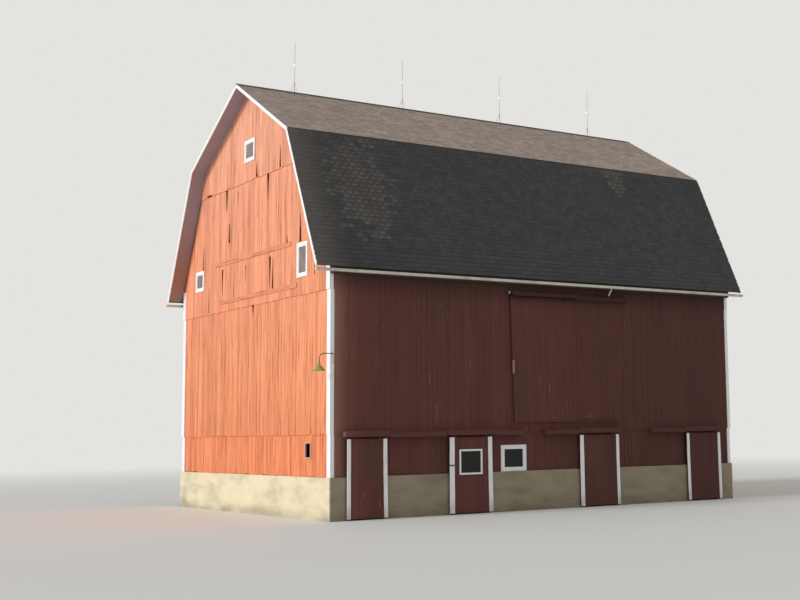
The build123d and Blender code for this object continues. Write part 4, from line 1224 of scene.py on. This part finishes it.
def background(tree, output, lit, seen_colour):
    """Mixes a lit shader with a plain colour that only the camera, gloss and glass see."""
    add = partial(add_node, tree)
    seen = 0.0
    for ray in ("Is Camera Ray", "Is Glossy Ray", "Is Transmission Ray"):
        seen = add("MAXIMUM", add("ShaderNodeLightPath", out=ray), seen)
    mixed = add("ShaderNodeMixShader", seen, lit, add("ShaderNodeBackground", seen_colour, 1.0))
    tree.links.new(mixed, output.inputs["Surface"])


def floor_finish(tone):
    """Pale studio floor, matt, that the camera sees fading into the background with distance."""
    material, add = new_material("pale_studio_floor", Roughness=0.9, Base_Color=tone)
    nodes = material.node_tree.nodes
    place = add("ShaderNodeTexCoord", out="Object")
    away = add("ShaderNodeVectorMath", place, out="Value", operation="LENGTH")
    faded = add("MULTIPLY", add("spread", away, 20.0, 70.0), add("ShaderNodeLightPath", out="Is Camera Ray"))
    mixed = add("ShaderNodeMixShader", faded, nodes["Principled BSDF"].outputs[0],
                add("ShaderNodeEmission", tone))
    material.node_tree.links.new(mixed, nodes["Material Output"].inputs["Surface"])
    return material


class BARN_OT_stage(Operator):
    """Camera at the photograph's angle, pale floor and soft studio light"""

    bl_idname = "barn.stage"
    bl_label = "Stage"

    def execute(self, context):
        scene = context.scene
        stage = scene.barn.stage
        lens = bpy.data.cameras.new("photo_camera")
        lens.lens, lens.sensor_width, lens.sensor_fit = stage.lens, 36, "HORIZONTAL"
        lens.shift_x, lens.shift_y = stage.shift
        lens.clip_end = 2000
        camera = bpy.data.objects.new("photo_camera", lens)
        camera.matrix_world = camera_matrix(stage)
        scene.collection.objects.link(camera)
        scene.camera = camera

        shape = bmesh.new()
        bmesh.ops.create_circle(shape, cap_ends=True, segments=96, radius=600)
        floor = object_from("studio_floor", shape)
        floor.data.materials.append(floor_finish(scene.barn.colours.floor))

        key = bpy.data.lights.new("soft_key", "SUN")
        key.energy, key.angle = stage.key, radians(20)
        lamp = bpy.data.objects.new("soft_key", key)
        height, turn = radians(22), radians(4)
        toward = Vector((-cos(height) * cos(turn), cos(height) * sin(turn), sin(height)))
        lamp.rotation_euler = toward.to_track_quat("Z", "Y").to_euler()
        scene.collection.objects.link(lamp)

        world = bpy.data.worlds.new("studio")
        world.use_nodes = True
        scene.world = world
        tree = world.node_tree
        even = tree.nodes["Background"]
        even.inputs["Color"].default_value = (1, 1, 1, 1)
        even.inputs["Strength"].default_value = stage.fill
        background(tree, tree.nodes["World Output"], even.outputs[0], scene.barn.colours.floor)
        scene.view_settings.view_transform = "Standard"
        return {"FINISHED"}


class BARN_PT_panel(Panel):
    """Lists the barn's settings and operators"""

    bl_label = "Barn"
    bl_idname = "BARN_PT_panel"
    bl_space_type = "VIEW_3D"
    bl_region_type = "UI"
    bl_category = "Barn"

    def draw(self, context):
        settings = context.scene.barn
        for group in (settings.boards, settings.roof, settings.trim, settings.colours, settings.stage):
            box = self.layout.box()
            for name in group.bl_rna.properties.keys():
                if name not in ("rna_type", "name"):
                    box.prop(group, name)
        for operator in OPERATORS:
            self.layout.operator(operator.bl_idname)


OPERATORS = (BARN_OT_foundation, BARN_OT_gable_boards, BARN_OT_side_boards, BARN_OT_doors, BARN_OT_shingles,
             BARN_OT_trim, BARN_OT_hardware, BARN_OT_timbers, BARN_OT_stage)
CLASSES = (BarnBoards, BarnRoof, BarnTrim, BarnColours, BarnStage, BarnSettings, *OPERATORS, BARN_PT_panel)


def register():
    """Registers the classes and the settings."""
    for kind in CLASSES:
        bpy.utils.register_class(kind)
    bpy.types.Scene.barn = PointerProperty(type=BarnSettings)


def unregister():
    """Removes the settings and the classes."""
    del bpy.types.Scene.barn
    for kind in reversed(CLASSES):
        bpy.utils.unregister_class(kind)


def main():
    """Builds the barn's looks in order."""
    register()
    make_materials(bpy.context.scene.barn.colours)
    for operator in OPERATORS:
        group, name = operator.bl_idname.split(".")
        getattr(getattr(bpy.ops, group), name)()


if __name__ == "__main__":
    main()
